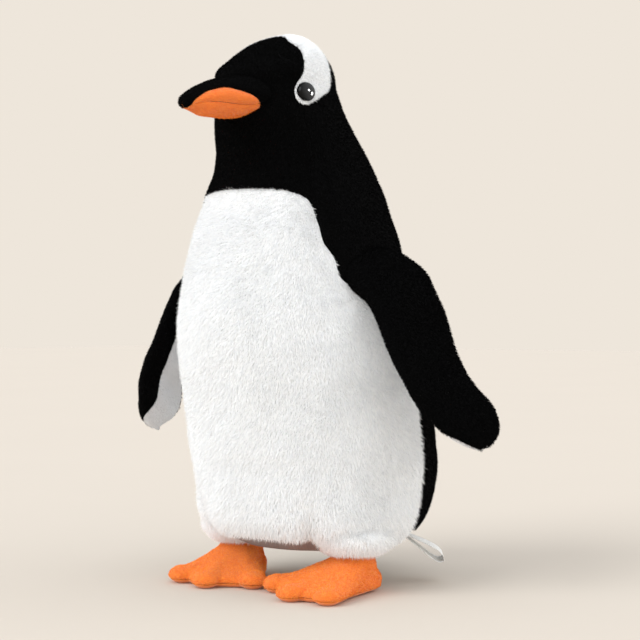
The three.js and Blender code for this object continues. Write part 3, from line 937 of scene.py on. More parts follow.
WHITE_TONES = PileTones(
    "white_pile",
    ((0.96, 0.965, 0.965), (0.92, 0.93, 0.94), (0.94, 0.945, 0.95), (0.86, 0.875, 0.895)),
    0.9,
    0.1,
)
BLACK_TONES = PileTones(
    "black_pile",
    ((0.0008, 0.0008, 0.0008), (0.0013, 0.0013, 0.0014), (0.0035, 0.0034, 0.0036)),
    0.85,
    0.004,
    0.03,
)
ORANGE_TONES = PileTones(
    "orange_pile",
    ((0.92, 0.27, 0.02), (0.97, 0.36, 0.045), (0.82, 0.19, 0.012)),
    0.8,
    0.2,
)
LINING_TONES = PileTones("lining_pile", ((0.82, 0.83, 0.85), (0.74, 0.755, 0.78)), 0.8, 0.2)

WHITE_PILE = Pile(WHITE_TONES, 3.6 * MM, 0.24 * MM, 3.1, 0.5, 0.26, 0.006)
BLACK_PILE = Pile(BLACK_TONES, 1.6 * MM, 0.22 * MM, 1.9, 0.4, 0.3, 0.006)
SHORT_BLACK = Pile(BLACK_TONES, 1.0 * MM, 0.16 * MM, 4.0, 0.4, 0.3, 0.004)
ORANGE_PILE = Pile(ORANGE_TONES, 0.8 * MM, 0.14 * MM, 5.5, 0.6, 0.4, 0.003)
LINING_PILE = Pile(LINING_TONES, 0.9 * MM, 0.16 * MM, 3.6, 0.4, 0.3, 0.005)
FLIPPER_PILE = Pile(BLACK_TONES, 1.5 * MM, 0.2 * MM, 3.4, 0.4, 0.3, 0.006)
FOOT_PILE = Pile(ORANGE_TONES, 0.75 * MM, 0.17 * MM, 5.5, 1.0, 0.8, 0.0025)


# ---------------------------------------------------------------- dressing


def describe(piece: bpy.types.Object, nodes: Sequence[str]) -> None:
    """Hides the nodes that a piece stands for and logs the piece's name.

    Args:
        piece: The piece.
        nodes: The nodes that it stands for.
    """
    if nodes:
        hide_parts(*nodes)
    LOG.info("%s", piece.name)


def dress(piece: bpy.types.Object, body: str, slot: str, *nodes: str, fill: float = 0.0) -> None:
    """Ties a piece to its body and hides the nodes that it stands for.

    Args:
        piece: The piece.
        body: The body that it moves with.
        slot: The name of a material slot. Not used.
        nodes: The nodes that it stands for.
        fill: How full a stuffed piece is, or 0 for a plain one. Not used.
    """
    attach(piece, body)
    describe(piece, nodes)


# ---------------------------------------------------------------- the body's skins


@dataclass
class BodySkins:
    """The sewn skins of trunk, neck and head, each with its pile."""

    form: BodyForm
    step: float = 2.2 * MM
    white_inset: float = 2.3 * MM
    black_inset: float = 1.0 * MM
    seam: float = 0.35 * MM

    def __post_init__(self) -> None:
        """Draws the seams that bound the panels."""
        top = (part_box("belly_panel")[1].z - self.form.base) / self.form.height
        self.bib_low = (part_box("belly_panel")[0].z - self.form.base) / self.form.height
        self.bib_top = top
        self.shoulder = 0.752
        self.bib_edge = Curve((0.0, 98), (0.1, 99), (0.18, 99), (0.3, 98), (0.4, 95), (0.484, 87), (0.55, 77),
                              (0.565, 72), (0.572, 66), (0.585, 62), (0.6, 60), (0.62, 59.5), (0.643, 56.5),
                              (0.66, 53.5), (0.69, 52), (0.727, 49.5), (0.742, 48), (0.752, 46), (0.759, 43),
                              (0.766, 38), (0.771, 32), (0.775, 22), (0.7775, 10), (top, 2))
        self.band_front = Curve((-11.8, -14.8), (-11, -16.3), (-9, -17.5), (-5, -17.7), (-1, -16),
                                (3.2, -13.2), (8.8, -11.2), (14, -9.7), (18.3, -8.5), (24.3, -8),
                                (27.5, -5.5), (30.4, 0))
        self.band_rear = Curve((-11.8, -11.2), (-10.7, -8.5), (-7.9, -4.5), (-3, 4.3), (1, 8), (8, 9.4),
                               (16, 11), (23, 12), (28, 12.6), (30.4, 14))
        self.band_foot = self.form.station(self.form.head_height - 11.8 * MM)

    def _turn_at(self, station: float, edge: Curve) -> float:
        """The turn of a band edge that is drawn in the side view.

        Args:
            station: 0 at the base, 1 at the head's middle, 2 at the crown.
            edge: The edge, by rise above the head's middle in millimetres.

        Returns:
            The turn, in degrees.
        """
        height, _, depth, middle = self.form.ring(station)
        rise = (height - self.form.head_height) / MM
        forward = self.form.axis - self.form.head_forward + edge(rise) * MM - middle
        share = -forward / max(depth, 1e-6)
        return math.degrees(math.acos(min(max(share, -1.0), 1.0)))

    def bib_half(self, station: float, sign: int) -> float:
        """The bib's reach to one side.

        Args:
            station: Where it is read.
            sign: 1 for the left and -1 for the right, where the bib reaches further round at its top.

        Returns:
            The turn of its edge, without a sign.
        """
        reach = self.bib_edge(station)
        if sign < 0:
            reach += 8 * smooth(0.68, 0.74, station) + 10 * smooth(0.75, 0.78, station)
        return reach

    def face_edge(self, station: float, sign: int = 1) -> float:
        """Half of the face panel's span at a station above the bib.

        Args:
            station: 0 at the base, 1 at the head's middle, 2 at the crown.
            sign: 1 for the left and -1 for the right.

        Returns:
            The turn, without a sign.
        """
        if station >= self.band_foot:
            return self._turn_at(station, self.band_front)
        share = max((station - self.shoulder) / (self.band_foot - self.shoulder), 0)
        start = self.bib_half(self.shoulder, sign)
        return start + (self._turn_at(self.band_foot, self.band_front) - start) * share

    def back_edge(self, station: float, sign: int = 1) -> float:
        """Where the back panel starts at a station.

        Args:
            station: 0 at the base, 1 at the head's middle, 2 at the crown.
            sign: 1 for the left and -1 for the right.

        Returns:
            The turn, without a sign.
        """
        if station <= self.shoulder:
            return self.bib_half(station, sign)
        if station >= self.band_foot:
            return self._turn_at(station, self.band_rear)
        return self.face_edge(station, sign)

    def hem(self, turn: float) -> float:
        """How far the plush ends above the base seam, in stations: over the legs it reaches lowest."""
        off = abs(abs(turn) - LEG_TURN)
        return 0.004 + 0.009 * smooth(22, 40, off) + 0.012 * smooth(92, 104, abs(turn))

    def _last(self, edge: Callable[[float], float]) -> float:
        """The station where an edge reaches the middle of the back."""
        stations = np.linspace(1.2, 2, 400)
        return float(next((s for s in stations if edge(s) > 179.5), 2.0))

    def _patch(self, name: str, low: float, high: float, spans: Callable[[float], tuple[float, float]],
               inset: float, columns: int, lean: Callable, length: Callable) -> Sheet:
        """A sheet between two stations and two turns.

        Args:
            name: The sheet's name.
            low: The station of its lower edge.
            high: The station of its upper edge.
            spans: Gives the two turns at a station.
            inset: Distance taken in from the form.
            columns: How many columns the grid has.
            lean: Gives the nap at a place.
            length: Gives the pile's length at a place.

        Returns:
            The sheet, not yet built.
        """
        stations, lengths = self.form.lengths
        run = float(np.diff(np.interp([low, high], stations, lengths))[0])

        def point(u: float, v: float) -> Vector:
            """Lays the grid on the form.

            Args:
                u: Share of the way across.
                v: Share of the way up or along.

            Returns:
                The point.
            """
            station = self.form.between(low, high, v)
            start, end = spans(station)
            turn = start + (end - start) * u
            lift = self.hem(turn) * (1 - v) ** 5 if low == self.bib_low else 0
            return self.form.point(station + lift, turn, inset)

        return Sheet(name, columns, max(int(run / self.step), 4), point, self.form.inside, lean, length)

    def belly(self) -> None:
        """Makes the white bib and belly."""

        def span(station: float) -> tuple[float, float]:
            """The bib from side to side."""
            return 0.3 - self.bib_half(station, -1), self.bib_half(station, 1) - 0.3

        def length(place: Vector) -> float:
            """Long over the belly and shorter at the bib's top edge."""
            top = self.form.base + self.bib_top * self.form.height
            return WHITE_PILE.length * (0.72 + 0.28 * smooth(0, 0.02, top - place.z))

        sheet = self._patch("belly_panel_cloth", self.bib_low, self.bib_top, span, self.white_inset, 96,
                            self._white_nap, length)
        cloth = sheet.build(WHITE_CLOTH.build())
        dress(cloth, "body", "white_plush", "belly_panel", "torso_filling", fill=0.9)
        for number in range(3):
            pile = WHITE_PILE.grow(cloth, f"belly_pile_{number + 1}", 11 + number, 1 / 3)
            dress(pile, "body", "white_plush")

    def _white_nap(self, place: Vector, normal: Vector) -> Vector:
        """Combed down, and up and out along the bib's top edge.

        Args:
            place: The point.
            normal: The outward direction there.

        Returns:
            The nap's direction.
        """
        top = self.form.base + self.bib_top * self.form.height
        rim = smooth(0.006, 0.0, top - place.z)
        wander = Vector((ripple(place, 0.02, 5.0), 0, ripple(place, 0.03, 9.0))) * 0.5
        return downhill(1.0 - 1.6 * rim)(place, normal) + wander

    def back(self, side: Side) -> None:
        """Makes one black back panel.

        Args:
            side: Which side it is on.
        """
        end = self._last(self.back_edge)

        def span(station: float) -> tuple[float, float]:
            """From the side seam to the seam down the back."""
            return side.value * (self.back_edge(station, side.value) + 0.4), side.value * 179.9

        sheet = self._patch(f"back_panel_{side.label}_cloth", self.bib_low, end, span, self.black_inset, 44,
                            downhill(0.9), lambda place: BLACK_PILE.length)
        cloth = sheet.build(BLACK_CLOTH.build())
        dress(cloth, "body", "black_plush", f"back_panel_{side.label}", fill=0.9)
        pile = BLACK_PILE.grow(cloth, f"back_pile_{side.label}", 31 + side.value)
        dress(pile, "body", "black_plush")

    def face(self) -> None:
        """Makes the black face and throat."""

        def span(station: float) -> tuple[float, float]:
            """From cheek to cheek, and the whole crown in front of the band."""
            half = self.face_edge(station)
            return -half, half

        sheet = self._patch("face_panel_cloth", self.bib_top, 2.0, span, self.black_inset, 72,
                            downhill(0.8), lambda place: BLACK_PILE.length * 0.9)
        stations = np.linspace(self.shoulder, self.bib_top, 60)
        edges = {sign: [self.bib_half(s, sign) for s in stations] for sign in (1, -1)}

        def point(u: float, v: float) -> Vector:
            """Lays the grid on the form, with its lower edge along the bib.

            Args:
                u: Share of the way across.
                v: Share of the way up or along.

            Returns:
                The point.
            """
            station = self.form.between(self.bib_top, 2.0, v)
            sign = 1 if u >= 0.5 else -1
            turn = (2 * u - 1) * self.face_edge(station, sign)
            dip = self.bib_top - float(np.interp(abs(turn), edges[sign][::-1], stations[::-1]))
            return self.form.point(station - dip * (1 - v) ** 6, turn, self.black_inset)

        sheet.point = point
        cloth = sheet.build(BLACK_CLOTH.build())
        dress(cloth, "body", "black_plush", "face_panel", "head_filling", fill=0.9)
        pile = BLACK_PILE.grow(cloth, "face_pile", 41, 1.5)
        dress(pile, "body", "black_plush")

    def band(self) -> None:
        """Makes the white band over the crown."""
        end = self._last(self.face_edge)
        halves = []
        for side in Side:

            def span(station: float, sign: int = side.value) -> tuple[float, float]:
                """From the face seam to the back seam."""
                return sign * (self.face_edge(station) + 0.5), sign * max(self.back_edge(station) - 0.5,
                                                                         self.face_edge(station) + 0.6)

            name = f"brow_band_cloth_{side.label}"
            sheet = self._patch(name, self.band_foot, end, span, self.black_inset, 16, downhill(0.8),
                                lambda place: 2.0 * MM)
            halves.append(sheet.build(WHITE_CLOTH.build()))
        for side, cloth in zip(Side, halves):
            dress(cloth, "body", "white_plush", *(["brow_band"] if side is Side.LEFT else []), fill=0.9)
            pile = WHITE_PILE.grow(cloth, f"brow_pile_{side.label}", 51 + side.value, 1.6)
            dress(pile, "body", "white_plush")

    def base(self) -> None:
        """Makes the grey base panel under the seat."""

        def point(u: float, v: float) -> Vector:
            """Lays the grid from the middle of the base to its seam.

            Args:
                u: Share of the way across.
                v: Share of the way up or along.

            Returns:
                The point.
            """
            turn = 360 * u
            reach = v / 0.75
            if reach <= 1:
                rim = self.form.point(0, turn, 1.0 * MM)
                middle = Vector((0, self.form.ring(0)[3], self.form.base + 0.8 * MM))
                return middle + (Vector((rim.x, rim.y, middle.z)) - middle) * reach
            station = 0.075 * (reach - 1) * 3
            return self.form.point(station, turn, 1.0 * MM + 2.0 * MM * smooth(0, 0.02, station))

        sheet = Sheet("base_panel_cloth", 96, 32, point, self.form.inside, downhill(0), lambda place: 0.0)
        cloth = sheet.build(GREY_CLOTH.build())
        dress(cloth, "body", "grey_cotton", "base_panel", fill=0.6)

    def build(self) -> None:
        """Makes every skin of the body."""
        self.belly()
        for side in Side:
            self.back(side)
        self.face()
        self.band()
        self.base()


# ---------------------------------------------------------------- bill


@dataclass
class Bill:
    """The stuffed bill: a black ridge that hooks over the tip, and an orange upper and lower half."""

    form: BodyForm
    inset: float = 1.1
    root: float = -46.0
    tip: float = -96.6

    def __post_init__(self) -> None:
        """Draws the bill's side view, plan and seams."""
        self.top = Curve((-96.6, 252.6), (-96, 254.3), (-94, 256.8), (-92, 258.6), (-86.5, 262), (-81, 264.4),
                         (-75, 266.8), (-65, 269.6), (-57, 271.5), (-46, 272.5))
        self.bottom = Curve((-96.6, 251.4), (-96, 250.6), (-94, 249.2), (-92, 248.5), (-86.5, 247.2),
                            (-81, 246), (-75, 246.2), (-65, 246.6), (-57, 247.6), (-54, 248.6),
                            (-46, 250))
        self.width = Curve((-96.6, 0.5), (-96, 2.4), (-94, 4.6), (-92, 6), (-86.5, 8.1), (-81, 9.9),
                           (-75, 11.8), (-65, 14.8), (-57, 17.8), (-54, 19.2), (-46, 20.5))
        self.ridge_seam = Curve((-93.8, 178), (-93.4, 140), (-92.6, 104), (-90, 80), (-86, 63),
                                (-82, 55), (-75, 57), (-68, 71), (-60, 92), (-57, 104), (-54, 119),
                                (-46, 128))
        self.mouth = Curve((-93.8, 179), (-93.4, 166), (-92.6, 138), (-91, 120), (-86, 104), (-82, 103),
                           (-75, 110), (-68, 116), (-57, 121), (-54, 123), (-46, 132))

    def point(self, y: float, angle: float) -> Vector:
        """A point on the bill.

        Args:
            y: Behind the body axis, in millimetres.
            angle: Degrees from the top, round by the penguin's left.

        Returns:
            The point.
        """
        top, bottom, width = self.top(y), self.bottom(y), self.width(y)
        middle, half = (top + bottom) / 2, (top - bottom) / 2
        side = abs(angle if angle <= 180 else 360 - angle)
        full = smooth(-96, -90, y)
        swell = 1.0
        for seam, depth in ((self.ridge_seam(y), 0.085), (self.mouth(y), 0.075)):
            swell -= depth * full * math.exp(-(((side - seam) / 8) ** 2))
        between = (self.ridge_seam(y) + self.mouth(y)) / 2
        swell += 0.05 * full * math.exp(-(((side - between) / 18) ** 2))
        turn = math.radians(angle)
        x = (width - self.inset * full) * swell * math.sin(turn)
        z = middle + (half - self.inset * full) * swell * math.cos(turn)
        return at(x, y, z)

    def inside(self, place: Vector) -> Vector:
        """The bill's middle line beside a place."""
        y = (place.y - self.form.axis) / MM
        return at(0, y, (self.top(y) + self.bottom(y)) / 2)

    def _lean(self, place: Vector, normal: Vector) -> Vector:
        """The nap runs to the tip."""
        ahead = Vector((0, -1, -0.1))
        return (ahead - normal * ahead.dot(normal)) * 0.8

    def _patch(self, name: str, start: Callable[[float], float], end: Callable[[float], float], columns: int,
               length: float) -> Sheet:
        """A patch between two seams."""

        def point(u: float, v: float) -> Vector:
            """Lays the grid with its rows closer together at the tip."""
            y = self.root + (self.tip - self.root) * (1 - (1 - v) ** 1.5)
            return self.point(y, start(y) + (end(y) - start(y)) * u)

        return Sheet(name, columns, 56, point, self.inside, self._lean, lambda place: length, 0.7 * MM)

    def _mouth_edge(self, y: float, gap: float) -> float:
        """The upper bill's lower edge, which never passes its upper edge."""
        return max(self.mouth(y) - gap, self.ridge_seam(y) + gap)

    def build(self) -> None:
        """Makes the ridge and both halves of the bill."""
        gap = 0.6
        ridge = self._patch("culmen_cloth", lambda y: gap - self.ridge_seam(y),
                            lambda y: self.ridge_seam(y) - gap, 30, SHORT_BLACK.length)
        ridge = ridge.build(BLACK_CLOTH.build())
        dress(ridge, "body", "black_plush", "culmen_panel", fill=0.8)
        dress(SHORT_BLACK.grow(ridge, "culmen_pile", 61), "body", "black_plush")
        orange = ORANGE_CLOTH.build()
        for side in Side:
            sign = side.value
            upper = self._patch(f"upper_bill_cloth_{side.label}",
                                lambda y, sign=sign: sign * (self.ridge_seam(y) + gap) % 360,
                                lambda y, sign=sign: sign * self._mouth_edge(y, gap) % 360,
                                14, ORANGE_PILE.length).build(orange)
            nodes = ["upper_bill"] if side is Side.LEFT else []
            dress(upper, "body", "orange_velour", *nodes, fill=0.8)
            pile = ORANGE_PILE.grow(upper, f"upper_bill_pile_{side.label}", 63 + sign)
            dress(pile, "body", "orange_velour")
        lower = self._patch("lower_bill_cloth", lambda y: self.mouth(y) + gap,
                            lambda y: 360 - gap - self.mouth(y), 30, ORANGE_PILE.length).build(orange)
        dress(lower, "body", "orange_velour", "lower_bill", "bill_filling", fill=0.8)
        dress(ORANGE_PILE.grow(lower, "lower_bill_pile", 66), "body", "orange_velour")


# ---------------------------------------------------------------- eyes


@dataclass
class Eyes:
    """Two domed plastic buttons, sunk a little into the fur."""

    form: BodyForm
    radius: float = 5.1 * MM
    dome: float = 3.5 * MM
    station: float = 0.978
    turn: float = 67.0

    def build(self) -> None:
        """Makes both eyes."""
        gloss = EYE_PLASTIC.build()
        for side in Side:
            bm = bmesh.new()
            profile = [(0.0, -1.6), (0.9, -1.5), (0.985, -0.9), (1.0, -0.5)]
            for step in range(1, 13):
                angle = math.pi / 2 * step / 12
                profile.append((math.cos(angle) ** 0.9, -0.5 + (self.dome / MM + 0.2) * math.sin(angle)))
            verts = [bm.verts.new((r * self.radius, 0, z * MM)) for r, z in profile]
            edges = [bm.edges.new(pair) for pair in zip(verts, verts[1:])]
            bmesh.ops.spin(bm, geom=verts + edges, axis=(0, 0, 1), cent=(0, 0, 0), steps=40,
                           angle=2 * math.pi, use_merge=True)
            bmesh.ops.remove_doubles(bm, verts=bm.verts, dist=1e-6)
            bmesh.ops.recalc_face_normals(bm, faces=bm.faces)
            out = self.form.outwards(self.station, side.value * self.turn)
            middle = self.form.point(self.station, side.value * self.turn, 0.0)
            place = Matrix.Translation(middle) @ out.to_track_quat("Z", "Y").to_matrix().to_4x4()
            bmesh.ops.transform(bm, matrix=place, verts=bm.verts)
            eye = finish_piece(bm, f"eye_button_{side.label}", gloss)
            dress(eye, "body", "black_gloss", f"eye_{side.label}")


# ---------------------------------------------------------------- flippers


@dataclass
class Flipper:
    """One flipper: black plush outside and round the edges, short white lining inside."""

    side: Side
    hinge: Vector
    tilt: float = 27.5
    tip: float = 122.5

    def __post_init__(self) -> None:
        """Draws the blade against the distance from the shoulder, in millimetres."""
        self.front = Curve((-5, -14), (0, -23), (8, -30), (16, -34.5), (26, -36.5), (37, -34.5),
                           (48, -34.9), (60, -35.3), (71, -35.6), (82, -34.7), (94, -31.7), (99, -29),
                           (105, -26), (110, -22.6), (116, -16), (120, -9), (122.5, -0.5))
        self.rear = Curve((-5, -12), (0, -3), (8, 5), (16, 10.5), (26, 14.5), (37, 13.5), (48, 12.3),
                          (60, 10), (71, 7.5), (82, 7.2), (94, 10), (99, 13), (105, 15.6), (110, 16),
                          (116, 13), (120, 6.5), (122.5, 0.5))
        self.thick = Curve((-5, 1), (0, 6), (8, 8.5), (20, 8.8), (37, 7.2), (60, 6.2), (100, 5.8), (112, 5),
                           (118, 3.8), (121, 2.4), (122.5, 0.4))
        self.front_shift = Curve((-5, -9), (10, -13), (22, -11.5), (30, -8.5), (37, -6.5), (60, -5.8),
                                 (94, -5.5), (105, -4), (122, -2.5))
        self.rear_shift = Curve((-5, -9), (5, -11), (12, -6), (25, -1), (45, 1), (80, 1.5), (105, 3.5),
                                (122, 2))
        self.front_seam = Curve((0, 60), (60, 62), (77, 68), (94, 65), (105, 44), (111, 16), (116, -6),
                                (122, -12))
        self.down = Vector((math.sin(math.radians(self.tilt)), 0, -math.cos(math.radians(self.tilt))))
        self.out = Vector((math.cos(math.radians(self.tilt)), 0, math.sin(math.radians(self.tilt))))

    def point(self, reach: float, angle: float, inset: float) -> Vector:
        """A point on the blade.

        Args:
            reach: Distance from the shoulder along the blade, in millimetres.
            angle: Degrees from the front edge, round by the outer face.
            inset: Distance taken in, in millimetres.

        Returns:
            The point.
        """
        front, rear = self.front(reach), self.rear(reach)
        turn = math.radians(angle)
        across = -math.cos(turn)
        full = smooth(self.tip, self.tip - 3, reach)
        half = max((rear - front) / 2 - inset * full, 0.05)
        shift = (self.front_shift(reach) * (1 - across) + self.rear_shift(reach) * (1 + across)) / 2
        face = math.sin(turn)
        thick = max(self.thick(reach) - inset * full, 0.05) * math.copysign(abs(face) ** 0.85, face)
        y = (front + rear) / 2 + half * across
        if face < 0:
            hollow = 3.0 * math.exp(-(((reach - 96 - 0.9 * y) / 9) ** 2)) * smooth(70, 90, reach)
            thick += hollow * abs(face) * full
        place = self.down * reach + self.out * (shift + thick)
        place = Vector((place.x, 0, place.z)) * MM + self.hinge + Vector((0, y * MM, 0))
        ripples = ripple(place, 0.016, 2.0) * 0.7 + ripple(place, 0.034, 6.0) * 1.2
        place += self.out * ripples * MM * full * smooth(0, 12, reach)
        return Vector((place.x * self.side.value, place.y, place.z))

    def inside(self, place: Vector) -> Vector:
        """The blade's middle line beside a place.

        Args:
            place: The point.

        Returns:
            The point inside the blade.
        """
        flat = Vector((place.x * self.side.value, 0, place.z)) - Vector((self.hinge.x, 0, self.hinge.z))
        reach = min(max(flat.dot(self.down) / MM, 4), 112)
        y = (self.front(reach) + self.rear(reach)) / 2
        shift = (self.front_shift(reach) + self.rear_shift(reach)) / 2
        middle = self.hinge + (self.down * reach + self.out * shift) * MM + Vector((0, y * MM, 0))
        return Vector((middle.x * self.side.value, middle.y, middle.z))

    def _lean(self, place: Vector, normal: Vector) -> Vector:
        """The nap runs down the blade."""
        ahead = Vector((self.down.x * self.side.value, 0.1, self.down.z))
        return (ahead - normal * ahead.dot(normal)) * 0.9

    def _patch(self, name: str, start: Callable[[float], float], end: Callable[[float], float], columns: int,
               inset: float, low: float, length: float) -> Sheet:
        """A patch of the blade between two seams."""

        def point(u: float, v: float) -> Vector:
            """Lays the grid with its rows closer together at the tip."""
            reach = low + (self.tip - low) * (1 - (1 - v) ** 1.4)
            return self.point(reach, start(reach) + (end(reach) - start(reach)) * u, inset)

        return Sheet(name, columns, 64, point, self.inside, self._lean, lambda place: length, 0.8 * MM)

    def _join(self, piece: bpy.types.Object, slot: str, *nodes: str, fill: float = 0.0) -> None:
        """Sews a piece to the shoulder, where it bends between the trunk and the flipper.

        Args:
            piece: The piece.
            slot: The name of a material slot. Not used.
            nodes: The nodes that it stands for.
            fill: How full a stuffed piece is, or 0 for a plain one. Not used.
        """
        sign = self.side.value
        start = self.hinge - self.down * 2 * MM
        end = self.hinge + self.down * 24 * MM
        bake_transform(piece, "body", f"flipper_{self.side.label}", start=(start.x * sign, start.y, start.z),
                 end=(end.x * sign, end.y, end.z))
        describe(piece, nodes)

    def build(self) -> None:
        """Makes both faces of the flipper."""
        label = self.side.label
        outer = self._patch(f"flipper_outer_cloth_{label}", lambda reach: 0.8 - self.front_seam(reach),
                            lambda reach: 194.0, 56, 0.6, -5.0, FLIPPER_PILE.length)
        outer = outer.build(BLACK_CLOTH.build())
        self._join(outer, "black_plush", f"flipper_outer_{label}", f"flipper_wadding_{label}", fill=0.7)
        self._join(FLIPPER_PILE.grow(outer, f"flipper_pile_{label}", 71 + self.side.value), "black_plush")
        lining = self._patch(f"flipper_lining_cloth_{label}", lambda reach: 195.0,
                             lambda reach: 359.2 - self.front_seam(reach), 36, 0.7, -5.0,
                             LINING_PILE.length).build(LINING_CLOTH.build())
        self._join(lining, "white_velour", f"flipper_lining_{label}", fill=0.7)
        pile = LINING_PILE.grow(lining, f"flipper_lining_pile_{label}", 81 + self.side.value)
        self._join(pile, "white_velour")


# ---------------------------------------------------------------- legs and feet


@dataclass
class Leg:
    """A short furry leg on a webbed orange foot with three fat toes."""

    side: Side
    middle: Vector
    toes: tuple[tuple[float, float], ...] = ((11.0, -36.0), (-10.0, -40.0), (-31.0, -26.0))
    heel: tuple[float, float] = (0.5, 6.0)
    seam: float = 2.6

    def _ball(self, bm: bmesh.types.BMesh, place: Vector, size: Vector) -> list:
        """Adds a ball of given half sizes, in millimetres from the leg axis."""
        matrix = Matrix.Translation(place) @ Matrix.Diagonal((*size, 1))
        return bmesh.ops.create_uvsphere(bm, u_segments=14, v_segments=10, radius=1.0, matrix=matrix)["verts"]

    def _form(self) -> bpy.types.Object:
        """The foot's whole stuffed form, joined and smoothed.

        Returns:
            The foot as one object.
        """
        bm = bmesh.new()
        for x, y in (*self.toes, self.heel):
            tip = Vector((x, y, 0))
            for step in range(11):
                share = step / 10
                wide = 10.5 + (7.8 - 10.5) * share
                high = 10.2 + (4.9 - 10.2) * smooth(0.0, 0.95, share)
                if (x, y) == self.heel:
                    wide, high = 10.5, 9.6 - 2.4 * share
                self._ball(bm, tip * share + Vector((0, 0, high - 0.6)), Vector((wide, wide, high)))
        self._ball(bm, Vector((0, -1, 14.5)), Vector((12.4, 12.2, 11.5)))
        web = []
        for x, y in self.toes:
            web += self._ball(bm, Vector((x, y, 0)) * 0.93 + Vector((0, 0, 3.3)), Vector((4.5, 4.5, 3.3)))
        for turn in range(0, 360, 45):
            angle = math.radians(turn)
            web += self._ball(bm, Vector((9 * math.cos(angle), 9 * math.sin(angle), 17.5)), Vector((2, 2, 2)))
        web += self._ball(bm, Vector((*self.heel, 3.2)), Vector((10, 10, 3.2)))
        bmesh.ops.convex_hull(bm, input=web)
        foot = finish_piece(bm, "foot_form", ORANGE_CLOTH.build())
        joined = foot.modifiers.new("join", "REMESH")
        joined.mode = "VOXEL"
        joined.voxel_size = 0.8
        calm = foot.modifiers.new("calm", "SMOOTH")
        calm.factor = 0.6
        calm.iterations = 7
        depsgraph = bpy.context.evaluated_depsgraph_get()
        mesh = bpy.data.meshes.new_from_object(foot.evaluated_get(depsgraph))
        foot.modifiers.clear()
        foot.data = mesh
        return foot

    def _place(self, bm: bmesh.types.BMesh) -> None:
        """Stands the foot under its leg and adds soft random lumps to its upper.

        Args:
            bm: The foot's mesh, which is changed.
        """
        for vert in bm.verts:
            x, y, z = vert.co
            if z > 3.2:
                lump = ripple(Vector((x, y, z)), 9.0, 4.0) * 0.5 + ripple(Vector((x, y, z)), 3.0, 8.0) * 0.18
                vert.co += vert.normal * lump
            vert.co.z = max(vert.co.z, 0.0)
        for vert in bm.verts:
            x, y, z = vert.co
            vert.co = Vector(((self.middle.x + x * MM) * self.side.value, self.middle.y + y * MM, z * MM))
        if self.side is Side.RIGHT:
            bmesh.ops.reverse_faces(bm, faces=bm.faces)

    def foot(self) -> None:
        """Makes the foot's upper and its sole."""
        whole = self._form()
        orange = ORANGE_CLOTH.build()
        label = self.side.label
        for name, nodes, low in (("foot_upper_cloth", ("foot_upper", "foot_filling"), True),
                                 ("foot_sole_cloth", ("foot_sole",), False)):
            bm = bmesh.new()
            bm.from_mesh(whole.data)
            bm.normal_update()
            geom = bm.verts[:] + bm.edges[:] + bm.faces[:]
            cut = bmesh.ops.bisect_plane(bm, geom=geom, dist=1e-4, plane_co=(0, 0, self.seam),
                                         plane_no=(0, 0, 1), clear_inner=low, clear_outer=not low)
            rim = [v for v in cut["geom_cut"] if isinstance(v, bmesh.types.BMVert)]
            bm.normal_update()
            for vert in rim:
                flat = Vector((vert.co.x, vert.co.y, 0)).normalized()
                vert.co += -flat * 0.7 + Vector((0, 0, 0.15 if low else -0.15))
            self._place(bm)
            bm.normal_update()
            piece = finish_piece(bm, f"{name}_{label}", orange)
            mesh = piece.data
            leans = [0.0, 0.0, 0.0] * len(mesh.vertices)
            lengths = [FOOT_PILE.length if v.co.z > 0.4 * MM else 0.0 for v in mesh.vertices]
            store_pile(mesh, leans, lengths)
            dress(piece, "body", "orange_velour", *(f"{node}_{label}" for node in nodes), fill=0.8)
            if low:
                pile = FOOT_PILE.grow(piece, f"foot_pile_{label}", 91 + self.side.value)
                dress(pile, "body", "orange_velour")
            thicken(piece, 0.6 * MM)
        bpy.data.objects.remove(whole)

    def cuff(self) -> None:
        """Makes the furry cuff round the ankle."""
        radius = Curve((21.4, 12.4), (22.2, 14.6), (24, 17.6), (26.5, 20), (30, 21.5), (36, 20))

        def point(u: float, v: float) -> Vector:
            """Lays the grid round the leg.

            Args:
                u: Share of the way across.
                v: Share of the way up or along.

            Returns:
                The point.
            """
            height = 21.4 + 14.6 * v
            turn = 2 * math.pi * u
            lumps = ripple(Vector((math.cos(turn), math.sin(turn), height / 8)), 0.8)
            size = radius(height) * (1 + 0.03 * lumps)
            x = self.middle.x + size * math.sin(turn) * MM
            return Vector((x * self.side.value, self.middle.y - size * math.cos(turn) * MM, height * MM))

        def inside(place: Vector) -> Vector:
            """The leg's axis beside a place."""
            return Vector((self.middle.x * self.side.value, self.middle.y, place.z))

        sheet = Sheet(f"leg_cuff_cloth_{self.side.label}", 56, 12, point, inside, downhill(1.1),
                      lambda place: 3.2 * MM)
        cloth = sheet.build(WHITE_CLOTH.build())
        nodes = (f"leg_cuff_{self.side.label}", f"leg_filling_{self.side.label}")
        dress(cloth, "body", "white_plush", *nodes, fill=0.8)
        pile = WHITE_PILE.grow(cloth, f"leg_pile_{self.side.label}", 101 + self.side.value)
        dress(pile, "body", "white_plush")

    def build(self) -> None:
        """Makes the leg and its foot."""
        self.cuff()
        self.foot()


# ---------------------------------------------------------------- tail and label


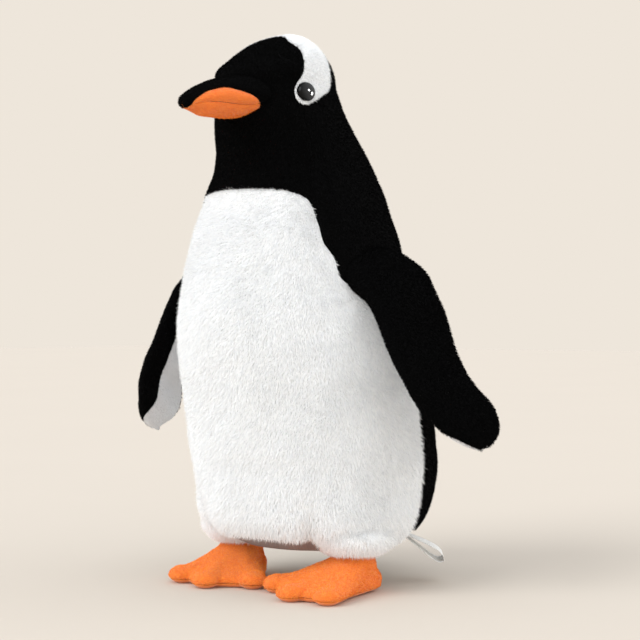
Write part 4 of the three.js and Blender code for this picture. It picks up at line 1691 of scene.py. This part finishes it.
@dataclass
class Tail:
    """A short stuffed wedge of a tail."""

    form: BodyForm
    reach: float = 24.0
    slope: float = 14.0

    def build(self) -> None:
        """Makes the tail's upper and under halves."""
        low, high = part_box("tail_top")
        root = Vector((0, low.y, high.z - 6.5 * MM))
        back = Vector((0, math.cos(math.radians(self.slope)), -math.sin(math.radians(self.slope))))
        up = Vector((0, -back.z, back.y))
        width = Curve((0, 15), (0.4, 13.6), (0.7, 10.5), (0.9, 6.5), (1, 1.5))
        height = Curve((0, 6.3), (0.4, 5.8), (0.7, 4.4), (0.9, 2.6), (1, 0.6))

        def spot(share: float, angle: float) -> Vector:
            """A point on the tail.

            Args:
                share: The share of the way, from 0 to 1.
                angle: Degrees round the section.

            Returns:
                The point.
            """
            turn = math.radians(angle)
            place = root + back * (share * self.reach - 2) * MM
            place += Vector((1, 0, 0)) * width(share) * MM * math.cos(turn)
            return place + up * (height(share) - 0.6) * MM * math.sin(turn)

        def inside(place: Vector) -> Vector:
            """The tail's middle line beside a place."""
            share = (place - root).dot(back)
            return root + back * share

        def lean(_place: Vector, normal: Vector) -> Vector:
            """The nap runs to the tip."""
            return (back - normal * back.dot(normal)) * 0.9

        halves = (("tail_top", ("tail_top", "tail_filling"), 1.0), ("tail_under", ("tail_under",), 181.0))
        for name, nodes, start in halves:

            def point(u: float, v: float, start: float = start) -> Vector:
                """Lays the grid on one half."""
                return spot(1 - (1 - v) ** 1.4, start + 178 * u)

            sheet = Sheet(f"{name}_cloth", 24, 20, point, inside, lean, lambda place: 1.4 * MM, 0.8 * MM)
            cloth = sheet.build(BLACK_CLOTH.build())
            dress(cloth, "body", "black_plush", *nodes, fill=0.7)
            dress(BLACK_PILE.grow(cloth, f"{name}_pile", 111 + int(start)), "body", "black_plush")


@dataclass
class Label:
    """A plain folded ribbon that hangs from the base seam behind the penguin's left leg."""

    form: BodyForm
    turn: float = 130.0
    length: float = 28.0
    width: float = 15.0
    thickness: float = 0.35
    slope: float = 27.0

    def build(self) -> None:
        """Makes the folded loop."""
        angle = math.radians(self.turn)
        out = Vector((math.sin(angle), -math.cos(angle), 0))
        across = Vector((math.cos(angle), math.sin(angle), 0))
        root = self.form.point(0.018, self.turn, 1.5 * MM)
        slope = math.radians(-self.slope)
        ahead = out * math.cos(slope) + Vector((0, 0, math.sin(slope)))
        lift = ahead.cross(across).normalized()
        lift = lift if lift.z > 0 else -lift
        gape = Curve((0, 0.35), (0.3, 1.2), (0.6, 2.3), (0.8, 2.7), (0.93, 2.0), (1, 0.1))
        bm = bmesh.new()
        bmesh.ops.create_grid(bm, x_segments=10, y_segments=72, size=0.5)
        for vert in bm.verts:
            u, v = vert.co.x + 0.5, vert.co.y + 0.5
            share = 1 - abs(2 * v - 1)
            share = math.sin(share * math.pi / 2) ** 0.92
            side = 1 if v < 0.5 else -1
            sag = -2.2 * share * share
            twist = (u - 0.5) * 0.5 * share
            rise = side * gape(share) + sag + twist * 2.0
            reach = share * self.length - 1.0
            vert.co = root + (ahead * reach + lift * rise + across * (u - 0.5) * self.width) * MM
        bm.normal_update()
        ribbon = finish_piece(bm, "care_label_ribbon", SATIN.build())
        thicken(ribbon, self.thickness * MM, 0.0)
        dress(ribbon, "body", "satin_ribbon", "care_label")


# ---------------------------------------------------------------- stage


@dataclass
class Studio:
    """A pale flat floor, a world that is backdrop-coloured low down, soft light and the camera."""

    distance: float = 0.8
    azimuth: float = 40.0
    eye_height: float = 0.142
    lens: float = 81.9
    aside: float = 7.7 * MM
    lift: float = 1.6 * MM
    paper: Color = (0.61, 0.545, 0.475)
    backdrop: Color = (0.855, 0.791, 0.708)
    sky: Color = (0.9, 0.95, 1.0)
    sun_power: float = 1.9
    fill_power: float = 1.45

    def camera(self) -> None:
        """Stands the camera at the front left of the penguin."""
        turn = math.radians(self.azimuth)
        back = Vector((math.sin(turn), -math.cos(turn), 0))
        right = Vector((math.cos(turn), math.sin(turn), 0))
        axis = Vector((0, FORM.axis, self.eye_height))
        data = bpy.data.cameras.new("camera")
        data.lens = self.lens
        data.sensor_width = 36.0
        camera = bpy.data.objects.new("camera", data)
        camera.location = axis + back * self.distance
        aim = axis + right * self.aside + Vector((0, 0, self.lift)) - camera.location
        camera.rotation_euler = aim.to_track_quat("-Z", "Y").to_euler()
        bpy.context.scene.collection.objects.link(camera)
        bpy.context.scene.camera = camera

    def floor(self) -> None:
        """Lays the flat paper floor."""
        bm = bmesh.new()
        bmesh.ops.create_grid(bm, x_segments=2, y_segments=2, size=6.0)
        shader = Shader("studio_paper")
        tint = shader.noise(4.0, 2.0)
        shader.feed("Base Color", shader.mix(tint, rgba(self.paper, 0.99), rgba(self.paper, 1.01)))
        shader.feed("Roughness", 1.0)
        shader.feed("Specular IOR Level", 0.0)
        floor = finish_piece(bm, "paper_floor", shader.material)

    def light(self) -> None:
        """Hangs an even sky, a soft sun and a fill from the other side."""
        world = bpy.data.worlds.new("studio")
        world.use_nodes = True
        sky = world.node_tree.nodes["Background"]
        place = world.node_tree.nodes.new("ShaderNodeTexCoord")
        parts = world.node_tree.nodes.new("ShaderNodeSeparateXYZ")
        blend = world.node_tree.nodes.new("ShaderNodeValToRGB")
        world.node_tree.links.new(place.outputs["Generated"], parts.inputs[0])
        world.node_tree.links.new(parts.outputs["Z"], blend.inputs["Fac"])
        world.node_tree.links.new(blend.outputs["Color"], sky.inputs["Color"])
        low, high = blend.color_ramp.elements
        low.position, low.color = 0.26, (*self.backdrop, 1)
        high.position, high.color = 0.5, (*self.sky, 1)
        bpy.context.scene.world = world
        bpy.context.scene.view_settings.view_transform = "Standard"
        self._sun("sun", self.sun_power, 40, Vector((0.31, 0.95, -0.62))).color = (0.97, 0.99, 1.0)
        self._sun("fill", self.fill_power, 120, Vector((-1.0, -0.05, -0.4))).use_shadow = False

    def _sun(self, name: str, power: float, spread: float, way: Vector) -> bpy.types.Light:
        """Hangs a soft, even light.

        Args:
            name: The light's name.
            power: Its strength.
            spread: How wide it is, in degrees.
            way: The direction that it shines in.

        Returns:
            The light.
        """
        light = bpy.data.lights.new(name, "SUN")
        light.energy = power
        light.angle = math.radians(spread)
        lamp = bpy.data.objects.new(name, light)
        lamp.rotation_euler = way.to_track_quat("-Z", "Y").to_euler()
        bpy.context.scene.collection.objects.link(lamp)
        return light

    def glints(self) -> None:
        """Hangs the two lamps that only the eyes mirror."""
        eyes = bpy.data.collections.new("lit_by_the_eye_lamps")
        for side in Side:
            eyes.objects.link(bpy.data.objects[f"eye_button_{side.label}"])
        head = Vector((0.03, -0.03, 0.26))
        for name, place, size, power in (
            ("high_glint", Vector((1.15, 0.1, 0.75)), 0.22, 50.0),
            ("side_glint", Vector((1.1, 0.75, 0.25)), 0.5, 190.0),
        ):
            light = bpy.data.lights.new(name, "AREA")
            light.size = size
            light.energy = power
            lamp = bpy.data.objects.new(name, light)
            lamp.location = place
            lamp.rotation_euler = (head - place).to_track_quat("-Z", "Y").to_euler()
            lamp.light_linking.receiver_collection = eyes
            bpy.context.scene.collection.objects.link(lamp)

    def build(self) -> None:
        """Sets up the whole studio."""
        self.camera()
        self.floor()
        self.light()
        self.glints()


def dress_hidden_nodes() -> None:
    """Gives the CAD nodes inside the penguin their materials."""
    looks = {
        "stuffing": FLUFF,
        "pellets": PELLETS,
        "clear_plastic": WASHER_PLASTIC,
        "black_gloss": EYE_PLASTIC,
        "orange_velour": ORANGE_CLOTH,
        "white_plush": WHITE_CLOTH,
        "black_plush": BLACK_CLOTH,
        "white_velour": LINING_CLOTH,
        "satin_ribbon": SATIN,
        "grey_cotton": GREY_CLOTH,
    }
    made = {}
    slots = {row["node"]: row["material_slot"] for row in frame["record"]["subparts"]}
    for name, node in frame["nodes"].items():
        slot = slots[name]
        if slot not in made:
            made[slot] = looks[slot].build()
        node.data.materials.clear()
        node.data.materials.append(made[slot])


def main() -> None:
    """Builds the penguin piece by piece."""
    dress_hidden_nodes()
    BodySkins(FORM).build()
    Bill(FORM).build()
    Eyes(FORM).build()
    hinge = at(SHOULDER_OUT, 0, SHOULDER_HEIGHT)
    for side in Side:
        Flipper(side, hinge).build()
        Leg(side, at(*LEG_PLACE)).build()
    Tail(FORM).build()
    Label(FORM).build()
    Studio().build()


if __name__ == "__main__":
    main()
